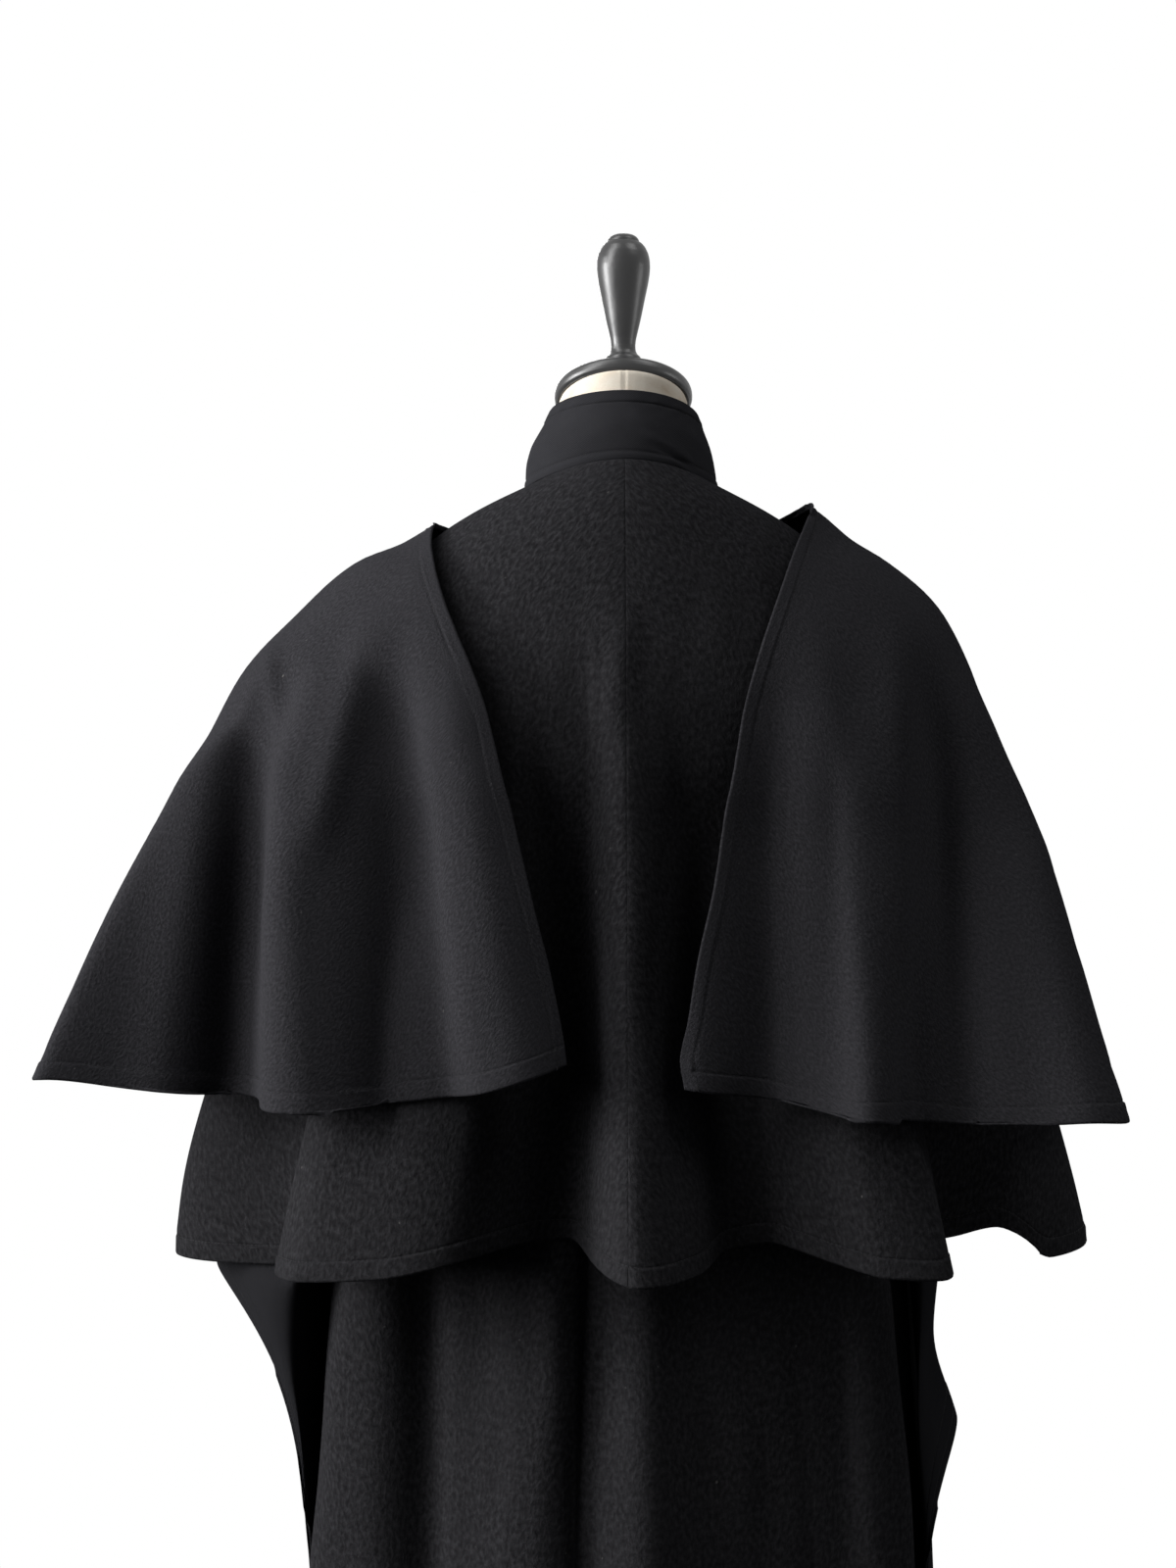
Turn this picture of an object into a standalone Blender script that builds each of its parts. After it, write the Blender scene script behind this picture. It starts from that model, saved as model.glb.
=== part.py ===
"""Wool cape coat standing on a limbless dress form.

Metres, +Z up. The coat's front faces -Y and its wearer's left is +X. Angles are in degrees about the
vertical axis, from the wearer's left (0) by the centre back (90) and the right (180) to the front (270).
Every cloth layer is a radius for an angle and a level: below CENTRE_Z a ring of a layer lies level, above
it the rings are cones about the point on the axis at CENTRE_Z, so that shoulders keep an even wall.
"""

import math

import bpy
import numpy as np

for leftover in list(bpy.data.objects):
    bpy.data.objects.remove(leftover, do_unlink=True)

# ---------------------------------------------------------------- driving sizes

CENTRE_Z = 1.120  # height of the armpits, where the cones over the shoulders start
ARC = 0.300  # metres of level for each radian above CENTRE_Z

WOOL = 0.0022  # napped wool wall
TWILL = 0.0014  # fine twill wall
SEAM = 0.0003  # gap between pieces at a seam
LAYER_GAP = 0.0018  # least air between two layers of cloth
SLEEVE_GAP = 0.0062  # from the coat's face to the near side of a sleeve
SLEEVE_ROOM = 0.009  # more room under the cape where the sleeves hang

COAT_HEM_Z = 0.270
CAPE_HEM_Z = 0.760
WING_HEM_Z = 0.885
NECK_RADIUS = 0.0545
CAP_RADIUS = 0.059
CAP_TILT = 20.0
CAP_THICK = 0.0130
CAP_Z = 1.4592
FORM_BOTTOM_Z = 0.740
POLE_RADIUS = 0.016
BASE_RADIUS = 0.190
BASE_THICK = 0.020
BUTTON_RADIUS = 0.0125
BUTTON_THICK = 0.0038
BUTTON_SHANK = 0.0020
BUTTON_HEIGHTS = (1.285, 1.165, 1.045, 0.925, 0.805, 0.685)

# Rings of each layer: how far above (elevation, degrees) or below (drop, mm) the armpits the ring is, the
# layer's distance from the centre there, in mm, towards the wearer's left, right, back and front, and how
# square the ring is (2 is an oval).
RING_COLUMNS = ("elevation", "drop", "left", "right", "back", "front", "square")
FORM_RINGS = (
    (76, 0, 262, 262, 284, 233, 2.0),
    (66, 0, 262, 261, 251, 216, 2.0),
    (57, 0, 254, 252, 212, 192, 2.0),
    (45, 0, 238, 237, 174, 169, 2.1),
    (30, 0, 212, 212, 149, 154, 2.1),
    (15, 0, 182, 182, 135, 144, 2.1),
    (0, 0, 162, 162, 126, 139, 2.1),
    (0, 100, 134, 134, 105, 116, 2.1),
    (0, 160, 125, 125, 97, 106, 2.1),
    (0, 260, 148, 148, 110, 112, 2.1),
    (0, 340, 160, 160, 117, 113, 2.1),
    (0, 380, 161, 161, 117, 112, 2.1),
)
COAT_RINGS = (
    (76, 0, 272, 271, 293, 239, 2.0),
    (66, 0, 269, 267, 257, 221, 2.0),
    (57, 0, 266, 264, 222, 202, 2.0),
    (45, 0, 252, 251, 187, 181, 2.1),
    (30, 0, 236, 236, 163, 167, 2.2),
    (15, 0, 212, 212, 147, 157, 2.2),
    (0, 0, 196, 196, 138, 152, 2.2),
    (0, 120, 184, 184, 128, 142, 2.3),
    (0, 250, 212, 210, 132, 144, 2.6),
    (0, 400, 242, 237, 146, 156, 3.0),
    (0, 520, 247, 243, 163, 166, 2.9),
    (0, 700, 256, 252, 182, 180, 2.7),
    (0, 850, 266, 262, 196, 190, 2.6),
)
CAPE_RINGS = (
    (76, 0, 277, 277, 298, 244, 2.0),
    (66, 0, 276, 274, 267, 231, 2.0),
    (57, 0, 275, 272, 232, 212, 2.0),
    (45, 0, 271, 269, 197, 192, 2.0),
    (30, 0, 262, 260, 171, 176, 2.0),
    (15, 0, 256, 254, 156, 167, 2.0),
    (0, 0, 262, 260, 151, 165, 2.0),
    (0, 120, 298, 296, 162, 176, 2.1),
    (0, 220, 330, 332, 178, 188, 2.1),
    (0, 320, 350, 356, 194, 202, 2.1),
    (0, 360, 354, 362, 200, 208, 2.1),
)
WING_RINGS = (
    (76, 0, 281, 281, 302, 249, 2.0),
    (66, 0, 280, 279, 272, 237, 2.0),
    (61, 0, 280, 286, 258, 227, 2.0),
    (57, 0, 283, 297, 244, 219, 2.0),
    (50, 0, 288, 295, 222, 212, 2.0),
    (42, 0, 304, 303, 204, 202, 2.0),
    (30, 0, 319, 315, 186, 190, 2.0),
    (19, 0, 341, 317, 176, 184, 2.0),
    (10, 0, 355, 321, 174, 183, 2.0),
    (0, 0, 378, 331, 176, 188, 2.0),
    (0, 100, 411, 354, 192, 204, 2.0),
    (0, 180, 432, 376, 206, 218, 2.0),
    (0, 240, 446, 396, 216, 226, 2.0),
)

# Crests and troughs of each layer, in order round the body: the angle where the fold starts, its angle at
# the hem, the level it starts at (elevation, drop in mm), the layer's radius there at the hem in mm, and
# how late the fold grows on its way down.
FOLD_COLUMNS = ("from_angle", "to_angle", "elevation", "drop", "hem_radius", "growth")
COAT_FOLDS = (
    (6, 6, 0, 200, 266, 0.6),
    (24, 23, 0, 200, 290, 0.6),
    (41, 41.5, 0, 200, 217, 0.5),
    (67, 68, 0, 200, 222, 0.6),
    (77, 76, 0, 200, 190, 0.6),
    (92, 93, 0, 200, 222, 0.6),
    (115, 115, 0, 200, 200, 0.6),
    (136, 136, 0, 200, 214, 0.5),
    (143, 143, 0, 200, 268, 0.5),
    (151, 151, 0, 200, 282, 0.6),
    (162, 161, 0, 200, 256, 0.6),
    (186, 186, 0, 200, 274, 0.6),
    (208, 208, 0, 200, 226, 0.6),
    (226, 226, 0, 200, 246, 0.6),
    (246, 246, 0, 200, 190, 0.6),
    (270, 270, 0, 200, 194, 0.6),
    (294, 294, 0, 200, 190, 0.6),
    (314, 314, 0, 200, 248, 0.6),
    (332, 332, 0, 200, 228, 0.6),
    (350, 350, 0, 200, 276, 0.6),
)
CAPE_FOLDS = (
    (6, 4, 15, 0, 376, 0.7),
    (22, 21, 15, 0, 284, 1.0),
    (32, 31, 15, 0, 318, 1.0),
    (41, 40, 20, 0, 320, 1.1),
    (52, 50, 25, 0, 292, 1.1),
    (59, 57.5, 30, 0, 264, 1.1),
    (68, 66, 35, 0, 174, 0.9),
    (74, 73, 40, 0, 161, 0.9),
    (88, 92, 52, 0, 250, 0.9),
    (98, 104, 45, 0, 218, 1.0),
    (112, 116, 40, 0, 190, 0.9),
    (124, 124, 35, 0, 203, 0.9),
    (133, 131, 30, 0, 298, 1.1),
    (140, 137, 25, 0, 321, 1.1),
    (148, 146, 20, 0, 302, 1.1),
    (157, 156, 15, 0, 262, 1.0),
    (170, 169, 15, 0, 352, 1.0),
    (180, 178, 15, 0, 391, 0.8),
    (202, 202, 20, 0, 286, 1.0),
    (216, 215, 25, 0, 334, 1.1),
    (234, 233, 30, 0, 216, 1.0),
    (248, 248, 35, 0, 246, 1.0),
    (270, 270, 40, 0, 210, 1.0),
    (290, 291, 35, 0, 242, 1.0),
    (304, 305, 30, 0, 222, 1.0),
    (322, 323, 25, 0, 330, 1.1),
    (338, 339, 20, 0, 308, 1.0),
)
WING_FOLDS = (
    (11, 17.6, 12, 0, 495, 0.85),
    (15, 19.6, 22, 0, 338, 0.55),
    (24, 43, 24, 0, 333, 0.55),
    (33, 50, 28, 0, 244, 0.6),
    (40, 67, 36, 0, 258, 0.6),
    (70, 81, 45, 0, 214, 0.9),
    (92, 91, 45, 0, 196, 0.9),
    (113, 103.5, 45, 0, 226, 0.8),
    (130, 120, 45, 0, 221, 0.8),
    (142, 127.5, 42, 0, 292, 0.9),
    (158, 138, 32, 0, 284, 0.7),
    (172, 153.2, 24, 0, 421, 1.3),
    (178, 168, 20, 0, 352, 1.0),
    (184, 185, 12, 0, 392, 1.0),
    (194, 198, 20, 0, 340, 0.9),
    (208, 210, 26, 0, 372, 0.9),
    (222, 224, 34, 0, 256, 0.9),
    (236, 238, 40, 0, 274, 0.9),
    (250, 252, 42, 0, 226, 0.9),
    (290, 290, 42, 0, 230, 0.9),
    (306, 304, 38, 0, 276, 0.9),
    (320, 320, 30, 0, 254, 0.9),
    (334, 334, 24, 0, 384, 1.0),
    (343, 345, 20, 0, 356, 1.0),
    (350, 356, 12, 0, 420, 1.3),
    (362, 370, 12, 0, 420, 1.2),
)

# Where the cloth meets the neck: degrees above the armpits at the left, back, right and front.
NECK_ELEVATION = {0: 72.8, 90: 73.8, 180: 72.8, 270: 69.5}

# The centre-back seam of the coat leans to the wearer's left below the waist.
COAT_SEAM_COLUMNS = ("elevation", "drop", "angle")
COAT_SEAM = ((70, 0, 90), (0, 100, 88), (0, 400, 77), (0, 640, 74.5), (0, 850, 74))

# Free edges of the wings, from the neck down: the level and the angle of the front and back edges.
WING_EDGE_COLUMNS = ("elevation", "drop", "front_angle", "back_angle")
WING_LEFT_EDGES = (
    (69, 0, -72, -52),
    (64, 0, -73, -42),
    (60, 0, -73, -29),
    (57, 0, -74, -12),
    (55, 0, -74, 10),
    (50.7, 0, -75, 23.7),
    (45.5, 0, -75, 33.5),
    (37.4, 0, -76, 43.3),
    (30.3, 0, -76, 50.1),
    (22.4, 0, -76, 55.1),
    (12.9, 0, -75, 59.1),
    (0, 3, -75, 63.7),
    (0, 78, -74, 69.7),
    (0, 133, -73, 74.0),
    (0, 196, -71, 77.5),
    (0, 240, -70, 78.5),
)
WING_RIGHT_EDGES = (
    (69, 0, 252, 232),
    (65, 0, 253, 223),
    (61.5, 0, 253, 210),
    (59, 0, 254, 192),
    (57.3, 0, 254, 170),
    (53.4, 0, 255, 151.7),
    (49.4, 0, 255, 142.5),
    (42.7, 0, 255, 133.5),
    (35.2, 0, 256, 127.1),
    (26.9, 0, 256, 122.7),
    (19.8, 0, 256, 120.1),
    (2.2, 0, 255, 115.1),
    (0, 56, 254, 110.5),
    (0, 121, 253, 105.0),
    (0, 166, 252, 102.4),
    (0, 196, 251, 100.6),
    (0, 216, 251, 101.2),
    (0, 240, 250, 101.4),
)
# Height of the wing hems along the cloth: 0 at the front edge, 1 at the back edge.
WING_HEM_COLUMNS = ("share", "height")
WING_LEFT_HEM = (
    (0.0, 0.925), (0.25, 0.898), (0.5, 0.894), (0.58, 0.902), (0.7, 0.886), (0.8, 0.886), (0.93, 0.900),
    (1.0, 0.922),
)
WING_RIGHT_HEM = ((0.0, 0.915), (0.25, 0.886), (0.5, 0.874), (0.8, 0.876), (0.93, 0.893), (1.0, 0.904))

# Height of the lower cape's hem above CAPE_HEM_Z round the body, in mm.
CAPE_HEM_COLUMNS = ("angle", "rise")
CAPE_HEM = (
    (4, -20), (31, -8), (50, 2), (66, 18), (73, 18), (92, 1), (104, 2), (116, 14), (124, 18), (131, 3),
    (140, 0), (148, 0), (160, 8), (164, 14), (170, -16), (180, -10), (202, 12), (225, 4), (270, 10),
    (315, 4), (345, 0),
)

# Sleeve rings: half the angle the ring spans, the levels of its inner and outer sides (elevation, drop in
# mm), the radius of its outer side in mm, how full the ring is and how late it rises from inside to outside.
# The first ring lies on the armhole and the last is the slanted hem.
SLEEVE_COLUMNS = (
    "half_angle", "inner_elevation", "inner_drop", "outer_elevation", "outer_drop", "radius", "full", "rise"
)
SLEEVE_LEFT = (
    (24, 0, 32, 50, 0, 262, 0.0, 0.7),
    (25, 0, 64, 36, 0, 252, 0.6, 0.7),
    (26, 0, 110, 14, 0, 244, 1.0, 0.7),
    (25, 0, 180, 0, 70, 258, 1.0, 0.7),
    (24, 0, 280, 0, 170, 290, 1.0, 0.7),
    (22, 0, 400, 0, 270, 318, 1.0, 0.9),
    (19, 0, 540, 0, 345, 336, 1.0, 1.3),
    (15, 0, 700, 0, 392, 347, 1.0, 2.6),
)
SLEEVE_RIGHT = (
    (24, 0, 32, 50, 0, 260, 0.0, 0.7),
    (25, 0, 64, 36, 0, 250, 0.6, 0.7),
    (26, 0, 110, 14, 0, 242, 1.0, 0.7),
    (25, 0, 180, 0, 70, 254, 1.0, 0.7),
    (24, 0, 280, 0, 170, 276, 1.0, 0.7),
    (22, 0, 400, 0, 290, 278, 1.0, 0.8),
    (19, 0, 560, 0, 440, 264, 1.0, 0.8),
    (17, 0, 700, 0, 525, 285, 1.0, 1.3),
)
SLEEVE_SHIFT = 0.009  # how much further out the front of a sleeve hangs than its back, at the hem

# Collar rows: share of its height, then its radius in mm at the left, right, back and front.
COLLAR_COLUMNS = ("share", "left", "right", "back", "front")
COLLAR_ROWS = (
    (0.00, 83.5, 80.5, 76.5, 85.0),
    (0.25, 83.0, 78.5, 75.5, 84.0),
    (0.50, 79.5, 75.5, 73.0, 82.0),
    (0.80, 69.0, 69.0, 67.0, 77.0),
    (1.00, 62.8, 64.5, 63.0, 73.0),
)
COLLAR_TOP = {0: 1.4500, 90: 1.4605, 180: 1.4445, 270: 1.3980}  # height of its top edge round the neck
COLLAR_THICK = 0.0024

# Grid of each kind of piece, in rows down and columns across.
GRIDS = {"coat": (13, 10), "cape": (12, 17), "cape_front": (11, 11), "wing": (13, 32), "sleeve": (10, 16),
         "collar": (5, 23)}

COLOURS = {
    "wool": (0.020, 0.020, 0.023),
    "twill": (0.022, 0.022, 0.026),
    "cream": (0.78, 0.66, 0.50),
    "black": (0.012, 0.012, 0.013),
}


# ---------------------------------------------------------------- rows and layers


def level_of(elevation, drop):
    return drop / 1000 - ARC * np.radians(elevation)


def tangents(step, slope):
    """Slopes of a monotone cubic at its knots, level at every crest and trough."""
    near, far = slope[:-1], slope[1:]
    same = near * far > 0
    near, far = np.where(same, near, 1), np.where(same, far, 1)
    wide, narrow = step[1:] + 2 * step[:-1], 2 * step[1:] + step[:-1]
    inner = np.where(same, (wide + narrow) / (narrow / near + wide / far), 0)
    return np.concatenate([slope[:1], inner, slope[-1:]])


def between(share, step, low, high, tangent_low, tangent_high):
    return (
        low * (1 + 2 * share) * (1 - share) ** 2
        + high * share ** 2 * (3 - 2 * share)
        + step * share * (1 - share) * (tangent_low * (1 - share) - tangent_high * share)
    )


def follow(keys, values, at):
    """A monotone cubic through a short table, held past its ends."""
    keys, values = np.asarray(keys, float), np.asarray(values, float)
    at = np.clip(at, keys[0], keys[-1])
    step = np.diff(keys)
    tangent = tangents(step, np.diff(values) / step)
    cell = np.clip(np.searchsorted(keys, at, side="right") - 1, 0, len(step) - 1)
    share = (at - keys[cell]) / step[cell]
    return between(share, step[cell], values[cell], values[cell + 1], tangent[cell], tangent[cell + 1])


def follow_round(table, angle):
    """The same through a table that closes on itself after 360 degrees."""
    keys = [row[0] for row in table]
    values = [row[1] for row in table]
    keys = [k - 360 for k in keys[-2:]] + keys + [k + 360 for k in keys[:2]]
    values = values[-2:] + values + values[:2]
    return follow(keys, values, np.mod(angle, 360))


def ring_radius(rings, angle, level):
    """Radius of an oval section through a layer's left, right, back and front sizes at this level."""
    keys = [level_of(row[0], row[1]) for row in rings]
    left, right, back, front, square = (
        follow(keys, [row[i] for row in rings], level) for i in range(2, 7)
    )
    along, across = np.cos(np.radians(angle)), np.sin(np.radians(angle))
    side = np.where(along > 0, left, right)
    depth = np.where(across > 0, back, front)
    total = np.abs(along / side) ** square + np.abs(across / depth) ** square
    return total ** (-1 / square) / 1000


def fold_rise(folds, rings, angle, level, hem_level):
    """How far the crests and troughs stand off the plain rings, joined by a cubic round the body."""
    angle, level = np.broadcast_arrays(np.asarray(angle, float), np.asarray(level, float))
    shape, angle, level = angle.shape, angle.ravel(), level.ravel()
    keys, rises = [], []
    for first, last, elevation, drop, radius, growth in folds:
        start = level_of(elevation, drop)
        way = np.clip((level - start) / (hem_level - start), 0, 1.25)
        turn = np.mod(last - first + 180, 360) - 180
        keys.append(first + turn * way)
        rises.append((radius / 1000 - ring_radius(rings, last, hem_level)) * way ** growth)
    keys, rises = np.mod(np.array(keys), 360), np.array(rises)
    keys, rises = np.concatenate([keys - 360, keys, keys + 360]), np.concatenate([rises] * 3)
    around = np.argsort(keys, axis=0)
    keys, rises = np.take_along_axis(keys, around, 0), np.take_along_axis(rises, around, 0)
    step = np.diff(keys, axis=0)
    tangent = tangents(step, np.diff(rises, axis=0) / step)
    at = np.mod(angle, 360)
    cell = np.clip((keys <= at).sum(axis=0) - 1, 0, len(step) - 1)
    each = np.arange(len(at))
    share = (at - keys[cell, each]) / step[cell, each]
    made = between(
        share, step[cell, each], rises[cell, each], rises[cell + 1, each],
        tangent[cell, each], tangent[cell + 1, each],
    )
    return made.reshape(shape)


def above(radius, lower, blend=0.004):
    """The larger of two distances, rounded where they cross."""
    apart = radius - lower
    return lower + 0.5 * (apart + np.sqrt(apart ** 2 + blend ** 2))


def coat_radius(angle, level):
    folds = fold_rise(COAT_FOLDS, COAT_RINGS, angle, level, CENTRE_Z - COAT_HEM_Z)
    return ring_radius(COAT_RINGS, angle, level) + folds


def overlap_lift(angle, level):
    """The right front rides over the left one beside the centre front."""
    beside = np.mod(angle, 360) - 270
    return (WOOL + 2 * LAYER_GAP) * np.clip((beside + 18) / 6, 0, 1)


def coat_right_front_radius(angle, level):
    return coat_radius(angle, level) + overlap_lift(angle, level)


def cape_radius(angle, level):
    folds = fold_rise(CAPE_FOLDS, CAPE_RINGS, angle, level, CENTRE_Z - CAPE_HEM_Z)
    free = ring_radius(CAPE_RINGS, angle, level) + folds
    beside = np.clip(np.abs(np.cos(np.radians(angle))) * 3 - 1.8, 0, 1)
    below = np.clip((level - level_of(50, 0)) / 0.1, 0, 1)
    return above(free, coat_radius(angle, level) + WOOL + LAYER_GAP + SLEEVE_ROOM * beside * below)


def wing_radius(angle, level):
    folds = fold_rise(WING_FOLDS, WING_RINGS, angle, level, CENTRE_Z - WING_HEM_Z)
    free = ring_radius(WING_RINGS, angle, level) + folds
    return above(free, cape_radius(angle, level) + WOOL + 2 * LAYER_GAP)


def place(angle, level, radius):
    angle, level = np.radians(angle), np.asarray(level, float)
    elevation = np.maximum(-level, 0) / ARC
    flat = radius * np.cos(elevation)
    height = CENTRE_Z + radius * np.sin(elevation) - np.maximum(level, 0)
    return np.stack(np.broadcast_arrays(flat * np.cos(angle), flat * np.sin(angle), height), -1)


def on_layer(layer):
    return lambda angle, level: place(angle, level, layer(angle, level))


def normals_of(surface, first, second, turn=1.0):
    small_first, small_second = 0.05, 0.0005
    along = surface(first + small_first, second) - surface(first - small_first, second)
    down = surface(first, second + small_second) - surface(first, second - small_second)
    cross = np.cross(down, along)
    return turn * cross / np.linalg.norm(cross, axis=-1, keepdims=True)


# ---------------------------------------------------------------- solids

MATERIALS = {}


def material(name):
    if name not in MATERIALS:
        made = bpy.data.materials.new(name)
        made.use_nodes = True
        shader = made.node_tree.nodes["Principled BSDF"]
        shader.inputs["Base Color"].default_value = (*COLOURS[name.split("_")[0]], 1)
        shader.inputs["Roughness"].default_value = 0.4 if name.startswith("black") else 0.9
        MATERIALS[name] = made
    return MATERIALS[name]


def solid(name, points, faces, slot):
    mesh = bpy.data.meshes.new(name)
    mesh.from_pydata([tuple(map(float, p)) for p in points], [], faces)
    mesh.materials.append(material(slot))
    mesh.update()
    obj = bpy.data.objects.new(name, mesh)
    bpy.context.scene.collection.objects.link(obj)
    return obj


def wall(name, outer, inward, slot, ring=False):
    """A closed wall between a grid of points and the same grid moved inward. ring joins last to first."""
    rows, cols = outer.shape[:2]
    points = np.concatenate([outer.reshape(-1, 3), (outer + inward).reshape(-1, 3)])
    count, faces = rows * cols, []
    spans = cols if ring else cols - 1
    for i in range(rows - 1):
        for j in range(spans):
            a, b = i * cols + j, i * cols + (j + 1) % cols
            c, d = b + cols, a + cols
            faces += [(a, d, c, b), (a + count, b + count, c + count, d + count)]
    edges = [(j, (j + 1) % cols) for j in range(spans)]
    edges += [((rows - 1) * cols + (j + 1) % cols, (rows - 1) * cols + j) for j in range(spans)]
    if not ring:
        edges += [((i + 1) * cols, i * cols) for i in range(rows - 1)]
        edges += [(i * cols + cols - 1, (i + 1) * cols + cols - 1) for i in range(rows - 1)]
    faces += [(a, b, b + count, a + count) for a, b in edges]
    return solid(name, points, faces, slot)


def panel(name, layer, angles, levels, thick, slot):
    """A piece of a layer over a grid of angles and levels, its angles rising along each row."""
    surface = on_layer(layer)
    outer = surface(angles, levels)
    return wall(name, outer, -thick * normals_of(surface, angles, levels), slot)


def neck_level(angle):
    return level_of(follow_round(sorted(NECK_ELEVATION.items()), angle), 0)


def seam_inset(layer, angle, level):
    """Half a seam gap, as an angle."""
    reach = np.linalg.norm(place(angle, level, layer(angle, level))[..., :2], axis=-1)
    return np.degrees(0.6 * SEAM / reach)


def shares(count):
    return np.linspace(0, 1, count)


def cloth_shares(layer, first, last, level, count):
    """Shares of the way from one angle to another that lie evenly along the cloth at a level."""
    fine = np.linspace(first, last, 721)
    line = place(fine, np.full(fine.shape, level), layer(fine, np.full(fine.shape, level)))
    run = np.concatenate([[0], np.cumsum(np.linalg.norm(np.diff(line, axis=0), axis=1))])
    return (np.interp(shares(count) * run[-1], run, fine) - first) / (last - first)


def even_columns(layer, first, last, level, hem_level, count):
    """The same for every row, easing from plain angles at the top to the folds' own run at the hem."""
    at_hem = cloth_shares(layer, first, last, hem_level, count)
    return at_hem * level[:, None] + shares(count) * (1 - level[:, None])


def strip(layer, first, last, top, hem, grid):
    """Angles and levels of a panel between two seams, its columns even along the hem."""
    down, plain = np.meshgrid(shares(grid[0]), shares(grid[1]), indexing="ij")
    across = even_columns(layer, first, last, shares(grid[0]), hem(np.array([(first + last) / 2]))[0], grid[1])
    angle = first + (last - first) * across
    level = top(angle) + (hem(angle) - top(angle)) * down
    low = first + seam_inset(layer, first, level)
    high = last - seam_inset(layer, last, level)
    return low + (high - low) * across, level


# ---------------------------------------------------------------- dress form


def turned(name, profile, slot, sides=32, tilt=0.0, centre=(0, 0, 0)):
    """A solid of revolution from (radius, height) pairs, closed on the axis at both ends."""
    angles = np.radians(np.arange(sides) * 360 / sides)
    rows = [(r, h) for r, h in profile if r > 0]
    points = [(r * math.cos(a), r * math.sin(a), h) for r, h in rows for a in angles]
    points += [(0, 0, profile[0][1]), (0, 0, profile[-1][1])]
    faces = []
    for i in range(len(rows) - 1):
        for j in range(sides):
            a, b = i * sides + j, i * sides + (j + 1) % sides
            faces.append((a, b, b + sides, a + sides))
    low, high, last = len(points) - 2, len(points) - 1, (len(rows) - 1) * sides
    faces += [(low, (j + 1) % sides, j) for j in range(sides)]
    faces += [(high, last + j, last + (j + 1) % sides) for j in range(sides)]
    lean = math.radians(tilt)
    points = [
        (x + centre[0],
         y * math.cos(lean) - z * math.sin(lean) + centre[1],
         y * math.sin(lean) + z * math.cos(lean) + centre[2])
        for x, y, z in points
    ]
    return solid(name, points, faces, slot)


def build_form():
    sides = 40
    angles = np.arange(sides) * 360 / sides
    levels = [level_of(e, d) for e, d in ((74, 0), (66, 0), (57, 0), (50, 0), (42, 0), (32, 0), (20, 0), (8, 0))]
    levels += [0.03, 0.08, 0.12, 0.16, 0.20, 0.25, 0.31, CENTRE_Z - FORM_BOTTOM_Z]
    rings = [place(angles, np.full(sides, v), ring_radius(FORM_RINGS, angles, v)) for v in levels]
    round_x, round_y = np.cos(np.radians(angles)), np.sin(np.radians(angles))
    slope = math.tan(math.radians(CAP_TILT))
    for radius, height, lean in ((0.0585, 1.412, 0), (NECK_RADIUS, 1.428, 0.3), (NECK_RADIUS, CAP_Z - SEAM, 1)):
        tilt = lean * slope * radius * round_y
        rings.insert(0, np.stack([radius * round_x, radius * round_y, height + tilt], -1))
    top = rings[0]
    points = np.concatenate(rings + [[[0, 0, top[:, 2].mean()], [0, 0, FORM_BOTTOM_Z]]])
    faces = []
    for i in range(len(rings) - 1):
        for j in range(sides):
            a, b = i * sides + j, i * sides + (j + 1) % sides
            faces.append((a, a + sides, b + sides, b))
    last, high, low = (len(rings) - 1) * sides, len(points) - 2, len(points) - 1
    faces += [(high, j, (j + 1) % sides) for j in range(sides)]
    faces += [(low, last + (j + 1) % sides, last + j) for j in range(sides)]
    solid("form_torso", points, faces, "cream_cover")

    cap = ((0, 0), (0.0550, 0), (0.0580, 0.0014), (CAP_RADIUS, 0.0045), (CAP_RADIUS, 0.0088),
           (0.0580, 0.0118), (0.0556, CAP_THICK), (0, CAP_THICK))
    turned("form_cap", cap, "black_cap", 40, CAP_TILT, (0, 0, CAP_Z))
    finial = ((0, 0.0032), (0.0100, 0.0032), (0.0106, 0.0120), (0.0150, 0.0165), (0.0160, 0.0200), (0.0152, 0.0240),
              (0.0112, 0.0290), (0.0105, 0.0345), (0.0120, 0.0440), (0.0150, 0.0567), (0.0190, 0.0760),
              (0.0222, 0.0920), (0.0230, 0.1005), (0.0222, 0.1095), (0.0190, 0.1175), (0.0150, 0.1218),
              (0.0138, 0.1225), (0.0130, 0.1245), (0.0100, 0.1278), (0.0050, 0.1292), (0, 0.1293))
    turned("form_finial", finial, "black_finial", 32, 0, (0, 0, 1.4748))
    pole = ((0, BASE_THICK + 0.0003), (POLE_RADIUS, BASE_THICK + 0.0003),
            (POLE_RADIUS, FORM_BOTTOM_Z - 0.0003), (0, FORM_BOTTOM_Z - 0.0003))
    turned("form_pole", pole, "black_pole", 24)
    base = ((0, 0), (BASE_RADIUS - 0.004, 0), (BASE_RADIUS, 0.004), (BASE_RADIUS, BASE_THICK - 0.006),
            (BASE_RADIUS - 0.006, BASE_THICK), (0, BASE_THICK))
    turned("form_base", base, "black_base", 48)


# ---------------------------------------------------------------- coat


def coat_hem(angle):
    return np.full(np.shape(angle), CENTRE_Z - COAT_HEM_Z)


def cape_hem(angle):
    return CENTRE_Z - CAPE_HEM_Z - follow_round(CAPE_HEM, angle) / 1000


def armhole_edge(level, reach):
    """How far the armhole's edge stands back from the side seam, in degrees."""
    top, foot = level_of(48, 0), level_of(0, 22)
    away = (level - (top + foot) / 2) / ((foot - top) / 2)
    return reach * np.sqrt(np.clip(1 - away ** 2, 0, 1))


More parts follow.
